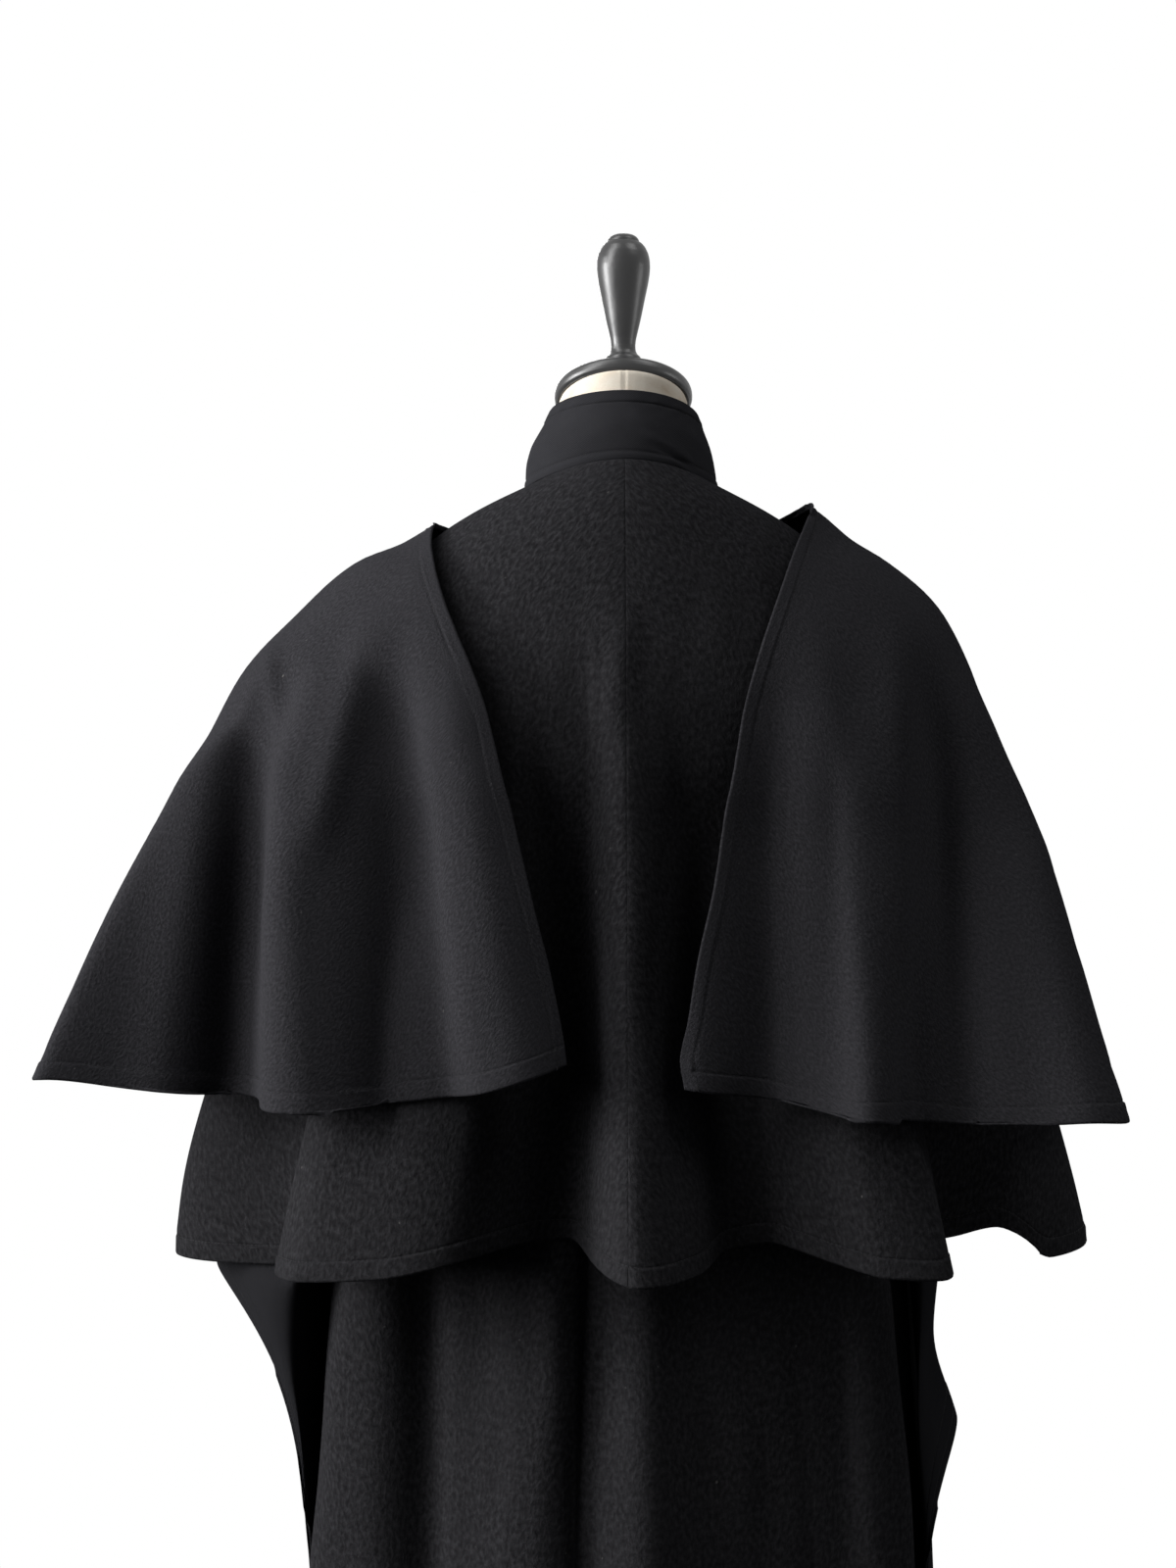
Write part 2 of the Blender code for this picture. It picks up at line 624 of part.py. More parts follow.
def coat_panel(name, layer, seam_angle, side_angle):
    """A back or front panel from its centre edge to the side seam, with the armhole cut out of its side."""
    down, across = np.meshgrid(shares(GRIDS["coat"][0]), shares(GRIDS["coat"][1]), indexing="ij")
    top_levels = neck_level(seam_angle + (side_angle - seam_angle) * across)
    level = top_levels + (CENTRE_Z - COAT_HEM_Z - top_levels) * down ** 1.4
    if seam_angle == 90:
        seam_angle = follow([level_of(*row[:2]) for row in COAT_SEAM], [row[2] for row in COAT_SEAM], level)
    side = side_angle + np.sign(seam_angle - side_angle) * armhole_edge(level, 21)
    toward = -1 if name in ("coat_back_left", "coat_front_right") else 1
    first = seam_angle + toward * seam_inset(layer, seam_angle, level)
    last = side - toward * seam_inset(layer, side_angle, level)
    angle = first + (last - first) * across
    if toward < 0:
        angle, level = angle[:, ::-1], level[:, ::-1]
    panel(name, layer, angle, level, WOOL, "wool_" + name)


def build_coat():
    coat_panel("coat_back_left", coat_radius, 90, 0)
    coat_panel("coat_back_right", coat_radius, 90, 180)
    coat_panel("coat_front_left", coat_radius, 262, 360)
    coat_panel("coat_front_right", coat_right_front_radius, 278, 180)


def cape_panel(name, first, last):
    grid = GRIDS["cape" if "back" in name else "cape_front"]
    angle, level = strip(cape_radius, first, last, neck_level, cape_hem, grid)
    panel(name, cape_radius, angle, level, WOOL, "wool_" + name)


def build_cape():
    cape_panel("cape_back_left", 0, 90)
    cape_panel("cape_back_right", 90, 180)
    cape_panel("cape_front_right", 180, 252)
    cape_panel("cape_front_left", 288, 360)


def wing_grid(edges, hem, grid):
    """Angles and levels of a wing: rows even along its back edge, columns even along its hem."""
    keys = [level_of(row[0], row[1]) for row in edges]
    fine = np.linspace(keys[0], CENTRE_Z - hem[-1][1], 400)
    back = follow(keys, [row[3] for row in edges], fine)
    line = place(back, fine, wing_radius(back, fine))
    run = np.concatenate([[0], np.cumsum(np.linalg.norm(np.diff(line, axis=0), axis=1))])
    way = (np.interp(shares(grid[0]) * run[-1], run, fine) - fine[0]) / (fine[-1] - fine[0])
    down, across = np.meshgrid(way, shares(grid[1]), indexing="ij")
    foot = CENTRE_Z - follow([row[0] for row in hem], [row[1] for row in hem], across)
    level = keys[0] + (foot - keys[0]) * down
    front = follow(keys, [row[2] for row in edges], level)
    back = follow(keys, [row[3] for row in edges], level)
    run = even_columns(wing_radius, edges[-1][2], edges[-1][3], way, CENTRE_Z - WING_HEM_Z, grid[1])
    return front + (back - front) * run, level


def build_wings():
    angle, level = wing_grid(WING_LEFT_EDGES, WING_LEFT_HEM, GRIDS["wing"])
    panel("wing_left", wing_radius, angle, level, WOOL, "wool_wing_left")
    angle, level = wing_grid(WING_RIGHT_EDGES, WING_RIGHT_HEM, GRIDS["wing"])
    panel("wing_right", wing_radius, angle[:, ::-1], level[:, ::-1], WOOL, "wool_wing_right")


def sleeve_surface(rows, middle, side):
    """Points of a sleeve by share around, from its back edge over its outside, and share of its length."""
    keys = np.linspace(0, 1, len(rows))
    inner = [level_of(row[1], row[2]) for row in rows]
    outer = [level_of(row[3], row[4]) for row in rows]

    def surface(around, along):
        half, radius, full, rise = (follow(keys, [row[i] for row in rows], along) for i in (0, 5, 6, 7))
        low, high = follow(keys, inner, along), follow(keys, outer, along)
        turn = 2 * np.pi * around
        out = (1 + np.sin(turn)) / 2
        angle = middle + side * half * np.cos(turn)
        level = low + (high - low) * out
        rest = coat_radius(angle, level) + SLEEVE_GAP
        reach = np.maximum(radius / 1000 - rest, 0) * full * out ** rise
        shift = SLEEVE_SHIFT * np.cos(turn) * out * along ** 4
        past_hem = np.maximum(level - cape_hem(angle), 0)
        roof = cape_radius(angle, level) - WOOL - 3 * LAYER_GAP + past_hem
        return place(angle, level, -above(-(rest + reach - shift), -roof))

    return surface


def build_sleeves():
    for name, rows, middle, side in (("left", SLEEVE_LEFT, 0, 1), ("right", SLEEVE_RIGHT, 180, -1)):
        surface = sleeve_surface(rows, middle, side)
        rows_count, count = GRIDS["sleeve"]
        along, around = np.meshgrid(shares(rows_count), np.arange(count) / count, indexing="ij")
        near = surface(around + 1e-4, along) - surface(around - 1e-4, along)
        down = surface(around, along + 1e-4) - surface(around, along - 1e-4)
        outward = -side * np.cross(down, near)
        outward /= np.linalg.norm(outward, axis=-1, keepdims=True)
        outer = surface(around, along)
        if side > 0:
            outer, outward = outer[:, ::-1], outward[:, ::-1]
        wall("sleeve_" + name, outer, -TWILL * outward, "twill_sleeve_" + name, ring=True)


def collar_surface(angle, share):
    """The collar: from just over the neck seam up to its top edge."""
    keys = [row[0] for row in COLLAR_ROWS]
    left, right, back, front = (follow(keys, [row[i] for row in COLLAR_ROWS], share) for i in range(1, 5))
    along, across = np.cos(np.radians(angle)), np.sin(np.radians(angle))
    flat = ((along / np.where(along > 0, left, right)) ** 2
            + (across / np.where(across > 0, back, front)) ** 2) ** -0.5 / 1000
    seam = neck_level(angle)
    foot = place(angle, seam, cape_radius(angle, seam))[..., 2] + 4 * SEAM
    head = follow_round(sorted(COLLAR_TOP.items()), angle)
    return np.stack([flat * along, flat * across, foot + (head - foot) * share], -1)


def build_collar():
    rows_count, count = GRIDS["collar"]
    inset = math.degrees(2 * SEAM / 0.08)
    share, angle = np.meshgrid(shares(rows_count)[::-1], np.linspace(-90 + inset, 270 - inset, count), indexing="ij")
    along = collar_surface(angle + 0.05, share) - collar_surface(angle - 0.05, share)
    down = collar_surface(angle, share - 0.01) - collar_surface(angle, share + 0.01)
    outward = np.cross(down, along)
    outward /= np.linalg.norm(outward, axis=-1, keepdims=True)
    wall("collar", collar_surface(angle, share), -COLLAR_THICK * outward, "twill_collar")


def build_buttons():
    profile = ((0, 0), (BUTTON_RADIUS * 0.8, 0), (BUTTON_RADIUS, 0.0012), (BUTTON_RADIUS, 0.0026),
               (BUTTON_RADIUS * 0.9, BUTTON_THICK), (BUTTON_RADIUS * 0.7, BUTTON_THICK - 0.0008),
               (0, BUTTON_THICK - 0.0008))
    for number, height in enumerate(BUTTON_HEIGHTS, 1):
        fine = np.linspace(level_of(70, 0), CENTRE_Z - COAT_HEM_Z, 900)
        line = place(270.0, fine, coat_right_front_radius(np.full(900, 270.0), fine))
        at = fine[np.argmin(np.abs(line[:, 2] - height))]
        surface = on_layer(coat_right_front_radius)
        centre = surface(np.array([270.0]), np.array([at]))[0]
        facing = normals_of(surface, np.array([270.0]), np.array([at]))[0]
        lean = 90 - math.degrees(math.asin(facing[2]))
        turned(f"button_{number}", profile, f"black_button_{number}", 16, lean, centre + facing * BUTTON_SHANK)


build_form()
build_coat()
build_cape()
build_wings()
build_sleeves()
build_collar()
build_buttons()
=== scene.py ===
"""Looks of the wool cape coat and the dress form it stands on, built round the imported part.

Metres, +Z up. The coat's front faces -Y and its wearer's left is +X. Every cloth layer is a radius for an
angle (degrees, from the wearer's left over the back) and a level, as in the part: below CENTRE_Z a ring
lies level, above it the rings are cones, ARC metres of level for each radian.
"""

import math

import bpy
import numpy as np
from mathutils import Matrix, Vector


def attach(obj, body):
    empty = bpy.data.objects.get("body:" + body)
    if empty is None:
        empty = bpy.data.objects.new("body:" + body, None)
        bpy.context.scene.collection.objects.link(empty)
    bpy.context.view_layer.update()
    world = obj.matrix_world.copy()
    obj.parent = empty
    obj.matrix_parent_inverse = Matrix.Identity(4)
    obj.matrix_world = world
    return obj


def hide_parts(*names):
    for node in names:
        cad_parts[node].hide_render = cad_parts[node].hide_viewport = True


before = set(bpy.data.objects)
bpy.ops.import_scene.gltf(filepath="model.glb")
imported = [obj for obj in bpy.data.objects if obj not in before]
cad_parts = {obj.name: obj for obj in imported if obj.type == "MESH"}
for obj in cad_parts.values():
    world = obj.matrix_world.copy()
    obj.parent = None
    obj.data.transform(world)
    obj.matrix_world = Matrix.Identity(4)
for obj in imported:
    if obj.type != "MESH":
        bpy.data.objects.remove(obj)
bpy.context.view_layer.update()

# ---------------------------------------------------------------- the part's own sizes

CENTRE_Z = 1.120  # height of the armpits, where the cones over the shoulders start
ARC = 0.300  # metres of level for each radian above CENTRE_Z

WOOL = 0.0022  # napped wool wall
TWILL = 0.0014  # fine twill wall
SEAM = 0.0003  # gap between pieces at a seam
SEAM_OVERLAP = 0.0001  # how far a drawn piece reaches past the middle of its seam, so that nothing shows through
LAYER_GAP = 0.0018  # least air between two layers of cloth
SLEEVE_GAP = 0.0062  # from the coat's face to the near side of a sleeve
SLEEVE_ROOM = 0.009  # more room under the cape where the sleeves hang

COAT_HEM_Z = 0.270
CAPE_HEM_Z = 0.760
WING_HEM_Z = 0.885
NECK_RADIUS = 0.0545
CAP_TILT = 20.0
CAP_Z = 1.4592
FINIAL_Z = 1.4748
NECK_Z = 1.428  # where the form's neck turns upright
FORM_BOTTOM_Z = 0.740
POLE_RADIUS = 0.016
BASE_RADIUS = 0.190
BASE_THICK = 0.020
BUTTON_RADIUS = 0.0125
BUTTON_THICK = 0.0038
BUTTON_SHANK = 0.0020
BUTTON_HEIGHTS = (1.285, 1.165, 1.045, 0.925, 0.805, 0.685)

# Rings of each layer: how far above (elevation, degrees) or below (drop, mm) the armpits the ring is, the
# layer's distance from the centre there, in mm, towards the wearer's left, right, back and front, and how
# square the ring is (2 is an oval).
# Columns: elevation, drop, left, right, back, front, square.
FORM_RINGS = (
    (76, 0, 262, 262, 284, 233, 2.0), (66, 0, 262, 261, 251, 216, 2.0), (57, 0, 254, 252, 212, 192, 2.0),
    (45, 0, 238, 237, 174, 169, 2.1), (30, 0, 212, 212, 149, 154, 2.1), (15, 0, 182, 182, 135, 144, 2.1),
    (0, 0, 162, 162, 126, 139, 2.1), (0, 100, 134, 134, 105, 116, 2.1), (0, 160, 125, 125, 97, 106, 2.1),
    (0, 260, 148, 148, 110, 112, 2.1), (0, 340, 160, 160, 117, 113, 2.1), (0, 380, 161, 161, 117, 112, 2.1),
)
COAT_RINGS = (
    (76, 0, 272, 271, 293, 239, 2.0), (66, 0, 269, 267, 257, 221, 2.0), (57, 0, 266, 264, 222, 202, 2.0),
    (45, 0, 252, 251, 187, 181, 2.1), (30, 0, 236, 236, 163, 167, 2.2), (15, 0, 212, 212, 147, 157, 2.2),
    (0, 0, 196, 196, 138, 152, 2.2), (0, 120, 184, 184, 128, 142, 2.3), (0, 250, 212, 210, 132, 144, 2.6),
    (0, 400, 242, 237, 146, 156, 3.0), (0, 520, 247, 243, 163, 166, 2.9), (0, 700, 256, 252, 182, 180, 2.7),
    (0, 850, 266, 262, 196, 190, 2.6),
)
CAPE_RINGS = (
    (76, 0, 277, 277, 298, 244, 2.0), (66, 0, 276, 274, 267, 231, 2.0), (57, 0, 275, 272, 232, 212, 2.0),
    (45, 0, 271, 269, 197, 192, 2.0), (30, 0, 262, 260, 171, 176, 2.0), (15, 0, 256, 254, 156, 167, 2.0),
    (0, 0, 262, 260, 151, 165, 2.0), (0, 120, 298, 296, 162, 176, 2.1), (0, 220, 330, 332, 178, 188, 2.1),
    (0, 320, 350, 356, 194, 202, 2.1), (0, 360, 354, 362, 200, 208, 2.1),
)
WING_RINGS = (
    (76, 0, 281, 281, 302, 249, 2.0), (66, 0, 280, 279, 272, 237, 2.0), (61, 0, 280, 286, 258, 227, 2.0),
    (57, 0, 283, 297, 244, 219, 2.0), (50, 0, 288, 295, 222, 212, 2.0), (42, 0, 304, 303, 204, 202, 2.0),
    (30, 0, 319, 315, 186, 190, 2.0), (19, 0, 341, 317, 176, 184, 2.0), (10, 0, 355, 321, 174, 183, 2.0),
    (0, 0, 378, 331, 176, 188, 2.0), (0, 100, 411, 354, 192, 204, 2.0), (0, 180, 432, 376, 206, 218, 2.0),
    (0, 240, 446, 396, 216, 226, 2.0),
)

# Crests and troughs of each layer, in order round the body: the angle where the fold starts, its angle at
# the hem, the level it starts at (elevation, drop in mm), the layer's radius there at the hem in mm, and
# how late the fold grows on its way down.
# Columns: from angle, to angle, elevation, drop, hem radius, growth.
COAT_FOLDS = (
    (6, 6, 0, 200, 266, 0.6), (24, 23, 0, 200, 290, 0.6), (41, 41.5, 0, 200, 217, 0.5),
    (67, 68, 0, 200, 222, 0.6), (77, 76, 0, 200, 190, 0.6), (92, 93, 0, 200, 222, 0.6),
    (115, 115, 0, 200, 200, 0.6), (136, 136, 0, 200, 214, 0.5), (143, 143, 0, 200, 268, 0.5),
    (151, 151, 0, 200, 282, 0.6), (162, 161, 0, 200, 256, 0.6), (186, 186, 0, 200, 274, 0.6),
    (208, 208, 0, 200, 226, 0.6), (226, 226, 0, 200, 246, 0.6), (246, 246, 0, 200, 190, 0.6),
    (270, 270, 0, 200, 194, 0.6), (294, 294, 0, 200, 190, 0.6), (314, 314, 0, 200, 248, 0.6),
    (332, 332, 0, 200, 228, 0.6), (350, 350, 0, 200, 276, 0.6),
)
CAPE_FOLDS = (
    (6, 4, 15, 0, 376, 0.7), (22, 21, 15, 0, 284, 1.0), (32, 31, 15, 0, 318, 1.0), (41, 40, 20, 0, 320, 1.1),
    (52, 50, 25, 0, 292, 1.1), (59, 57.5, 30, 0, 264, 1.1), (68, 66, 35, 0, 174, 0.9),
    (74, 73, 40, 0, 161, 0.9), (88, 92, 52, 0, 250, 0.9), (98, 104, 45, 0, 218, 1.0),
    (112, 116, 40, 0, 190, 0.9), (124, 124, 35, 0, 203, 0.9), (133, 131, 30, 0, 298, 1.1),
    (140, 137, 25, 0, 321, 1.1), (148, 146, 20, 0, 302, 1.1), (157, 156, 15, 0, 262, 1.0),
    (170, 169, 15, 0, 352, 1.0), (180, 178, 15, 0, 391, 0.8), (202, 202, 20, 0, 286, 1.0),
    (216, 215, 25, 0, 334, 1.1), (234, 233, 30, 0, 216, 1.0), (248, 248, 35, 0, 246, 1.0),
    (270, 270, 40, 0, 210, 1.0), (290, 291, 35, 0, 242, 1.0), (304, 305, 30, 0, 222, 1.0),
    (322, 323, 25, 0, 330, 1.1), (338, 339, 20, 0, 308, 1.0),
)
WING_FOLDS = (
    (11, 17.6, 12, 0, 495, 0.85), (15, 19.6, 22, 0, 338, 0.55), (24, 43, 24, 0, 333, 0.55),
    (33, 50, 28, 0, 244, 0.6), (40, 67, 36, 0, 258, 0.6), (70, 81, 45, 0, 214, 0.9), (92, 91, 45, 0, 196, 0.9),
    (113, 103.5, 45, 0, 226, 0.8), (130, 120, 45, 0, 221, 0.8), (142, 127.5, 42, 0, 292, 0.9),
    (158, 138, 32, 0, 284, 0.7), (172, 153.2, 24, 0, 421, 1.3), (178, 168, 20, 0, 352, 1.0),
    (184, 185, 12, 0, 392, 1.0), (194, 198, 20, 0, 340, 0.9), (208, 210, 26, 0, 372, 0.9),
    (222, 224, 34, 0, 256, 0.9), (236, 238, 40, 0, 274, 0.9), (250, 252, 42, 0, 226, 0.9),
    (290, 290, 42, 0, 230, 0.9), (306, 304, 38, 0, 276, 0.9), (320, 320, 30, 0, 254, 0.9),
    (334, 334, 24, 0, 384, 1.0), (343, 345, 20, 0, 356, 1.0), (350, 356, 12, 0, 420, 1.3),
    (362, 370, 12, 0, 420, 1.2),
)

# Where the cloth meets the neck: degrees above the armpits at the left, back, right and front.
NECK_ELEVATION = {0: 72.8, 90: 73.8, 180: 72.8, 270: 69.5}

# The centre-back seam of the coat leans to the wearer's left below the waist.
# Columns: elevation, drop, angle.
COAT_SEAM = ((70, 0, 90), (0, 100, 88), (0, 400, 77), (0, 640, 74.5), (0, 850, 74))

# Free edges of the wings, from the neck down: the level and the angle of the front and back edges.
# Columns: elevation, drop, front angle, back angle.
WING_LEFT_EDGES = (
    (69, 0, -72, -52), (64, 0, -73, -42), (60, 0, -73, -29), (57, 0, -74, -12), (55, 0, -74, 10),
    (50.7, 0, -75, 23.7), (45.5, 0, -75, 33.5), (37.4, 0, -76, 43.3), (30.3, 0, -76, 50.1),
    (22.4, 0, -76, 55.1), (12.9, 0, -75, 59.1), (0, 3, -75, 63.7), (0, 78, -74, 69.7), (0, 133, -73, 74.0),
    (0, 196, -71, 77.5), (0, 240, -70, 78.5),
)
WING_RIGHT_EDGES = (
    (69, 0, 252, 232), (65, 0, 253, 223), (61.5, 0, 253, 210), (59, 0, 254, 192), (57.3, 0, 254, 170),
    (53.4, 0, 255, 151.7), (49.4, 0, 255, 142.5), (42.7, 0, 255, 133.5), (35.2, 0, 256, 127.1),
    (26.9, 0, 256, 122.7), (19.8, 0, 256, 120.1), (2.2, 0, 255, 115.1), (0, 56, 254, 110.5),
    (0, 121, 253, 105.0), (0, 166, 252, 102.4), (0, 196, 251, 100.6), (0, 216, 251, 101.2),
    (0, 240, 250, 101.4),
)
# Height of the wing hems along the cloth: 0 at the front edge, 1 at the back edge.
# Columns: share, height.
WING_LEFT_HEM = (
    (0.0, 0.925), (0.25, 0.898), (0.5, 0.894), (0.58, 0.902), (0.7, 0.886), (0.8, 0.886), (0.93, 0.900),
    (1.0, 0.922),
)
WING_RIGHT_HEM = ((0.0, 0.915), (0.25, 0.886), (0.5, 0.874), (0.8, 0.876), (0.93, 0.893), (1.0, 0.904))

# Height of the lower cape's hem above CAPE_HEM_Z round the body, in mm.
# Columns: angle, rise.
CAPE_HEM = (
    (4, -20), (31, -8), (50, 2), (66, 18), (73, 18), (92, 1), (104, 2), (116, 14), (124, 18), (131, 3),
    (140, 0), (148, 0), (160, 8), (164, 14), (170, -16), (180, -10), (202, 12), (225, 4), (270, 10),
    (315, 4), (345, 0),
)

# Sleeve rings: half the angle the ring spans, the levels of its inner and outer sides (elevation, drop in
# mm), the radius of its outer side in mm, how full the ring is and how late it rises from inside to outside.
# The first ring lies on the armhole and the last is the slanted hem.
# Columns: half angle, inner elevation, inner drop, outer elevation, outer drop, radius, full, rise.
SLEEVE_LEFT = (
    (24, 0, 32, 50, 0, 262, 0.0, 0.7), (25, 0, 64, 36, 0, 252, 0.6, 0.7), (26, 0, 110, 14, 0, 244, 1.0, 0.7),
    (25, 0, 180, 0, 70, 258, 1.0, 0.7), (24, 0, 280, 0, 170, 290, 1.0, 0.7),
    (22, 0, 400, 0, 270, 318, 1.0, 0.9), (19, 0, 540, 0, 345, 336, 1.0, 1.3),
    (15, 0, 700, 0, 392, 347, 1.0, 2.6),
)
SLEEVE_RIGHT = (
    (24, 0, 32, 50, 0, 260, 0.0, 0.7), (25, 0, 64, 36, 0, 250, 0.6, 0.7), (26, 0, 110, 14, 0, 242, 1.0, 0.7),
    (25, 0, 180, 0, 70, 254, 1.0, 0.7), (24, 0, 280, 0, 170, 276, 1.0, 0.7),
    (22, 0, 400, 0, 290, 278, 1.0, 0.8), (19, 0, 560, 0, 440, 264, 1.0, 0.8),
    (17, 0, 700, 0, 525, 285, 1.0, 1.3),
)
SLEEVE_SHIFT = 0.009  # how much further out the front of a sleeve hangs than its back, at the hem

# Collar rows: share of its height, then its radius in mm at the left, right, back and front.
# Columns: share, left, right, back, front.
COLLAR_ROWS = (
    (0.00, 83.5, 80.5, 76.5, 85.0), (0.25, 83.0, 78.5, 75.5, 84.0), (0.50, 79.5, 75.5, 73.0, 82.0),
    (0.80, 69.0, 69.0, 67.0, 77.0), (1.00, 62.8, 64.5, 63.0, 73.0),
)
COLLAR_TOP = {0: 1.4500, 90: 1.4605, 180: 1.4445, 270: 1.3980}  # height of its top edge round the neck
COLLAR_THICK = 0.0024

# ---------------------------------------------------------------- rows and layers


def level_of(elevation, drop):
    return drop / 1000 - ARC * np.radians(elevation)


def tangents(step, slope):
    """Slopes of a monotone cubic at its knots, level at every crest and trough."""
    near, far = slope[:-1], slope[1:]
    same = near * far > 0
    near, far = np.where(same, near, 1), np.where(same, far, 1)
    wide, narrow = step[1:] + 2 * step[:-1], 2 * step[1:] + step[:-1]
    inner = np.where(same, (wide + narrow) / (narrow / near + wide / far), 0)
    return np.concatenate([slope[:1], inner, slope[-1:]])


def between(share, step, low, high, tangent_low, tangent_high):
    return (
        low * (1 + 2 * share) * (1 - share) ** 2
        + high * share ** 2 * (3 - 2 * share)
        + step * share * (1 - share) * (tangent_low * (1 - share) - tangent_high * share)
    )


def follow(keys, values, at):
    """A monotone cubic through a short table, held past its ends."""
    keys, values = np.asarray(keys, float), np.asarray(values, float)
    at = np.clip(at, keys[0], keys[-1])
    step = np.diff(keys)
    tangent = tangents(step, np.diff(values) / step)
    cell = np.clip(np.searchsorted(keys, at, side="right") - 1, 0, len(step) - 1)
    share = (at - keys[cell]) / step[cell]
    return between(share, step[cell], values[cell], values[cell + 1], tangent[cell], tangent[cell + 1])


def follow_round(table, angle):
    """The same through a table that closes on itself after 360 degrees."""
    keys = [row[0] for row in table]
    values = [row[1] for row in table]
    keys = [k - 360 for k in keys[-2:]] + keys + [k + 360 for k in keys[:2]]
    values = values[-2:] + values + values[:2]
    return follow(keys, values, np.mod(angle, 360))


def ring_radius(rings, angle, level):
    """Radius of an oval section through a layer's left, right, back and front sizes at this level."""
    keys = [level_of(row[0], row[1]) for row in rings]
    left, right, back, front, square = (
        follow(keys, [row[i] for row in rings], level) for i in range(2, 7)
    )
    along, across = np.cos(np.radians(angle)), np.sin(np.radians(angle))
    side = np.where(along > 0, left, right)
    depth = np.where(across > 0, back, front)
    total = np.abs(along / side) ** square + np.abs(across / depth) ** square
    return total ** (-1 / square) / 1000


def fold_rise(folds, rings, angle, level, hem_level):
    """How far the crests and troughs stand off the plain rings, joined by a cubic round the body."""
    angle, level = np.broadcast_arrays(np.asarray(angle, float), np.asarray(level, float))
    shape, angle, level = angle.shape, angle.ravel(), level.ravel()
    keys, rises = [], []
    for first, last, elevation, drop, radius, growth in folds:
        start = level_of(elevation, drop)
        way = np.clip((level - start) / (hem_level - start), 0, 1.25)
        turn = np.mod(last - first + 180, 360) - 180
        keys.append(first + turn * way)
        rises.append((radius / 1000 - ring_radius(rings, last, hem_level)) * way ** growth)
    keys, rises = np.mod(np.array(keys), 360), np.array(rises)
    keys, rises = np.concatenate([keys - 360, keys, keys + 360]), np.concatenate([rises] * 3)
    around = np.argsort(keys, axis=0)
    keys, rises = np.take_along_axis(keys, around, 0), np.take_along_axis(rises, around, 0)
    step = np.diff(keys, axis=0)
    tangent = tangents(step, np.diff(rises, axis=0) / step)
    at = np.mod(angle, 360)
    cell = np.clip((keys <= at).sum(axis=0) - 1, 0, len(step) - 1)
    each = np.arange(len(at))
    share = (at - keys[cell, each]) / step[cell, each]
    made = between(
        share, step[cell, each], rises[cell, each], rises[cell + 1, each],
        tangent[cell, each], tangent[cell + 1, each],
    )
    return made.reshape(shape)


def above(radius, lower, blend=0.004):
    """The larger of two distances, rounded where they cross."""
    apart = radius - lower
    return lower + 0.5 * (apart + np.sqrt(apart ** 2 + blend ** 2))


def free_radius(folds, rings, hem_z, angle, level):
    """A layer's rings with its folds, before it rests on what is under it."""
    rise = fold_rise(folds, rings, angle, level, CENTRE_Z - hem_z)
    return ring_radius(rings, angle, level) + rise


def sleeve_room(angle, level):
    """More room under the cape at its sides, where the sleeves hang."""
    beside = np.clip(np.abs(np.cos(np.radians(angle))) * 3 - 1.8, 0, 1)
    below = np.clip((level - level_of(50, 0)) / 0.1, 0, 1)
    return SLEEVE_ROOM * beside * below


def coat_radius(angle, level):
    return free_radius(COAT_FOLDS, COAT_RINGS, COAT_HEM_Z, angle, level)


def overlap_lift(angle):
    """The right front rides over the left one beside the centre front."""
    beside = np.mod(angle, 360) - 270
    return (WOOL + 2 * LAYER_GAP) * np.clip((beside + 18) / 6, 0, 1)


def coat_right_front_radius(angle, level):
    return coat_radius(angle, level) + overlap_lift(angle)


def cape_radius(angle, level):
    free = free_radius(CAPE_FOLDS, CAPE_RINGS, CAPE_HEM_Z, angle, level)
    return above(free, coat_radius(angle, level) + WOOL + LAYER_GAP + sleeve_room(angle, level))


def place(angle, level, radius):
    angle, level = np.radians(angle), np.asarray(level, float)
    elevation = np.maximum(-level, 0) / ARC
    flat = radius * np.cos(elevation)
    height = CENTRE_Z + radius * np.sin(elevation) - np.maximum(level, 0)
    return np.stack(np.broadcast_arrays(flat * np.cos(angle), flat * np.sin(angle), height), -1)


def on_layer(layer):
    return lambda angle, level: place(angle, level, layer(angle, level))


def normals_of(surface, first, second):
    small_first, small_second = 0.05, 0.0005
    along = surface(first + small_first, second) - surface(first - small_first, second)
    down = surface(first, second + small_second) - surface(first, second - small_second)
    cross = np.cross(down, along)
    return cross / np.linalg.norm(cross, axis=-1, keepdims=True)


def neck_level(angle):
    return level_of(follow_round(sorted(NECK_ELEVATION.items()), angle), 0)


def seam_inset(layer, angle, level):
    """How far a panel stops short of its seam, as an angle: below zero, because two panels overlap."""
    reach = np.linalg.norm(place(angle, level, layer(angle, level))[..., :2], axis=-1)
    return np.degrees(-SEAM_OVERLAP / reach)


def shares(count):
    return np.linspace(0, 1, count)


def cloth_shares(layer, first, last, level, count):
    """Shares of the way from one angle to another that lie evenly along the cloth at a level."""
    fine = np.linspace(first, last, 721)
    line = place(fine, np.full(fine.shape, level), layer(fine, np.full(fine.shape, level)))
    run = run_of(line, 0)
    return (np.interp(shares(count) * run[-1], run, fine) - first) / (last - first)


def even_columns(layer, first, last, level, hem_level, count):
    """The same for every row, easing from plain angles at the top to the folds' own run at the hem."""
    at_hem = cloth_shares(layer, first, last, hem_level, count)
    return at_hem * level[:, None] + shares(count) * (1 - level[:, None])


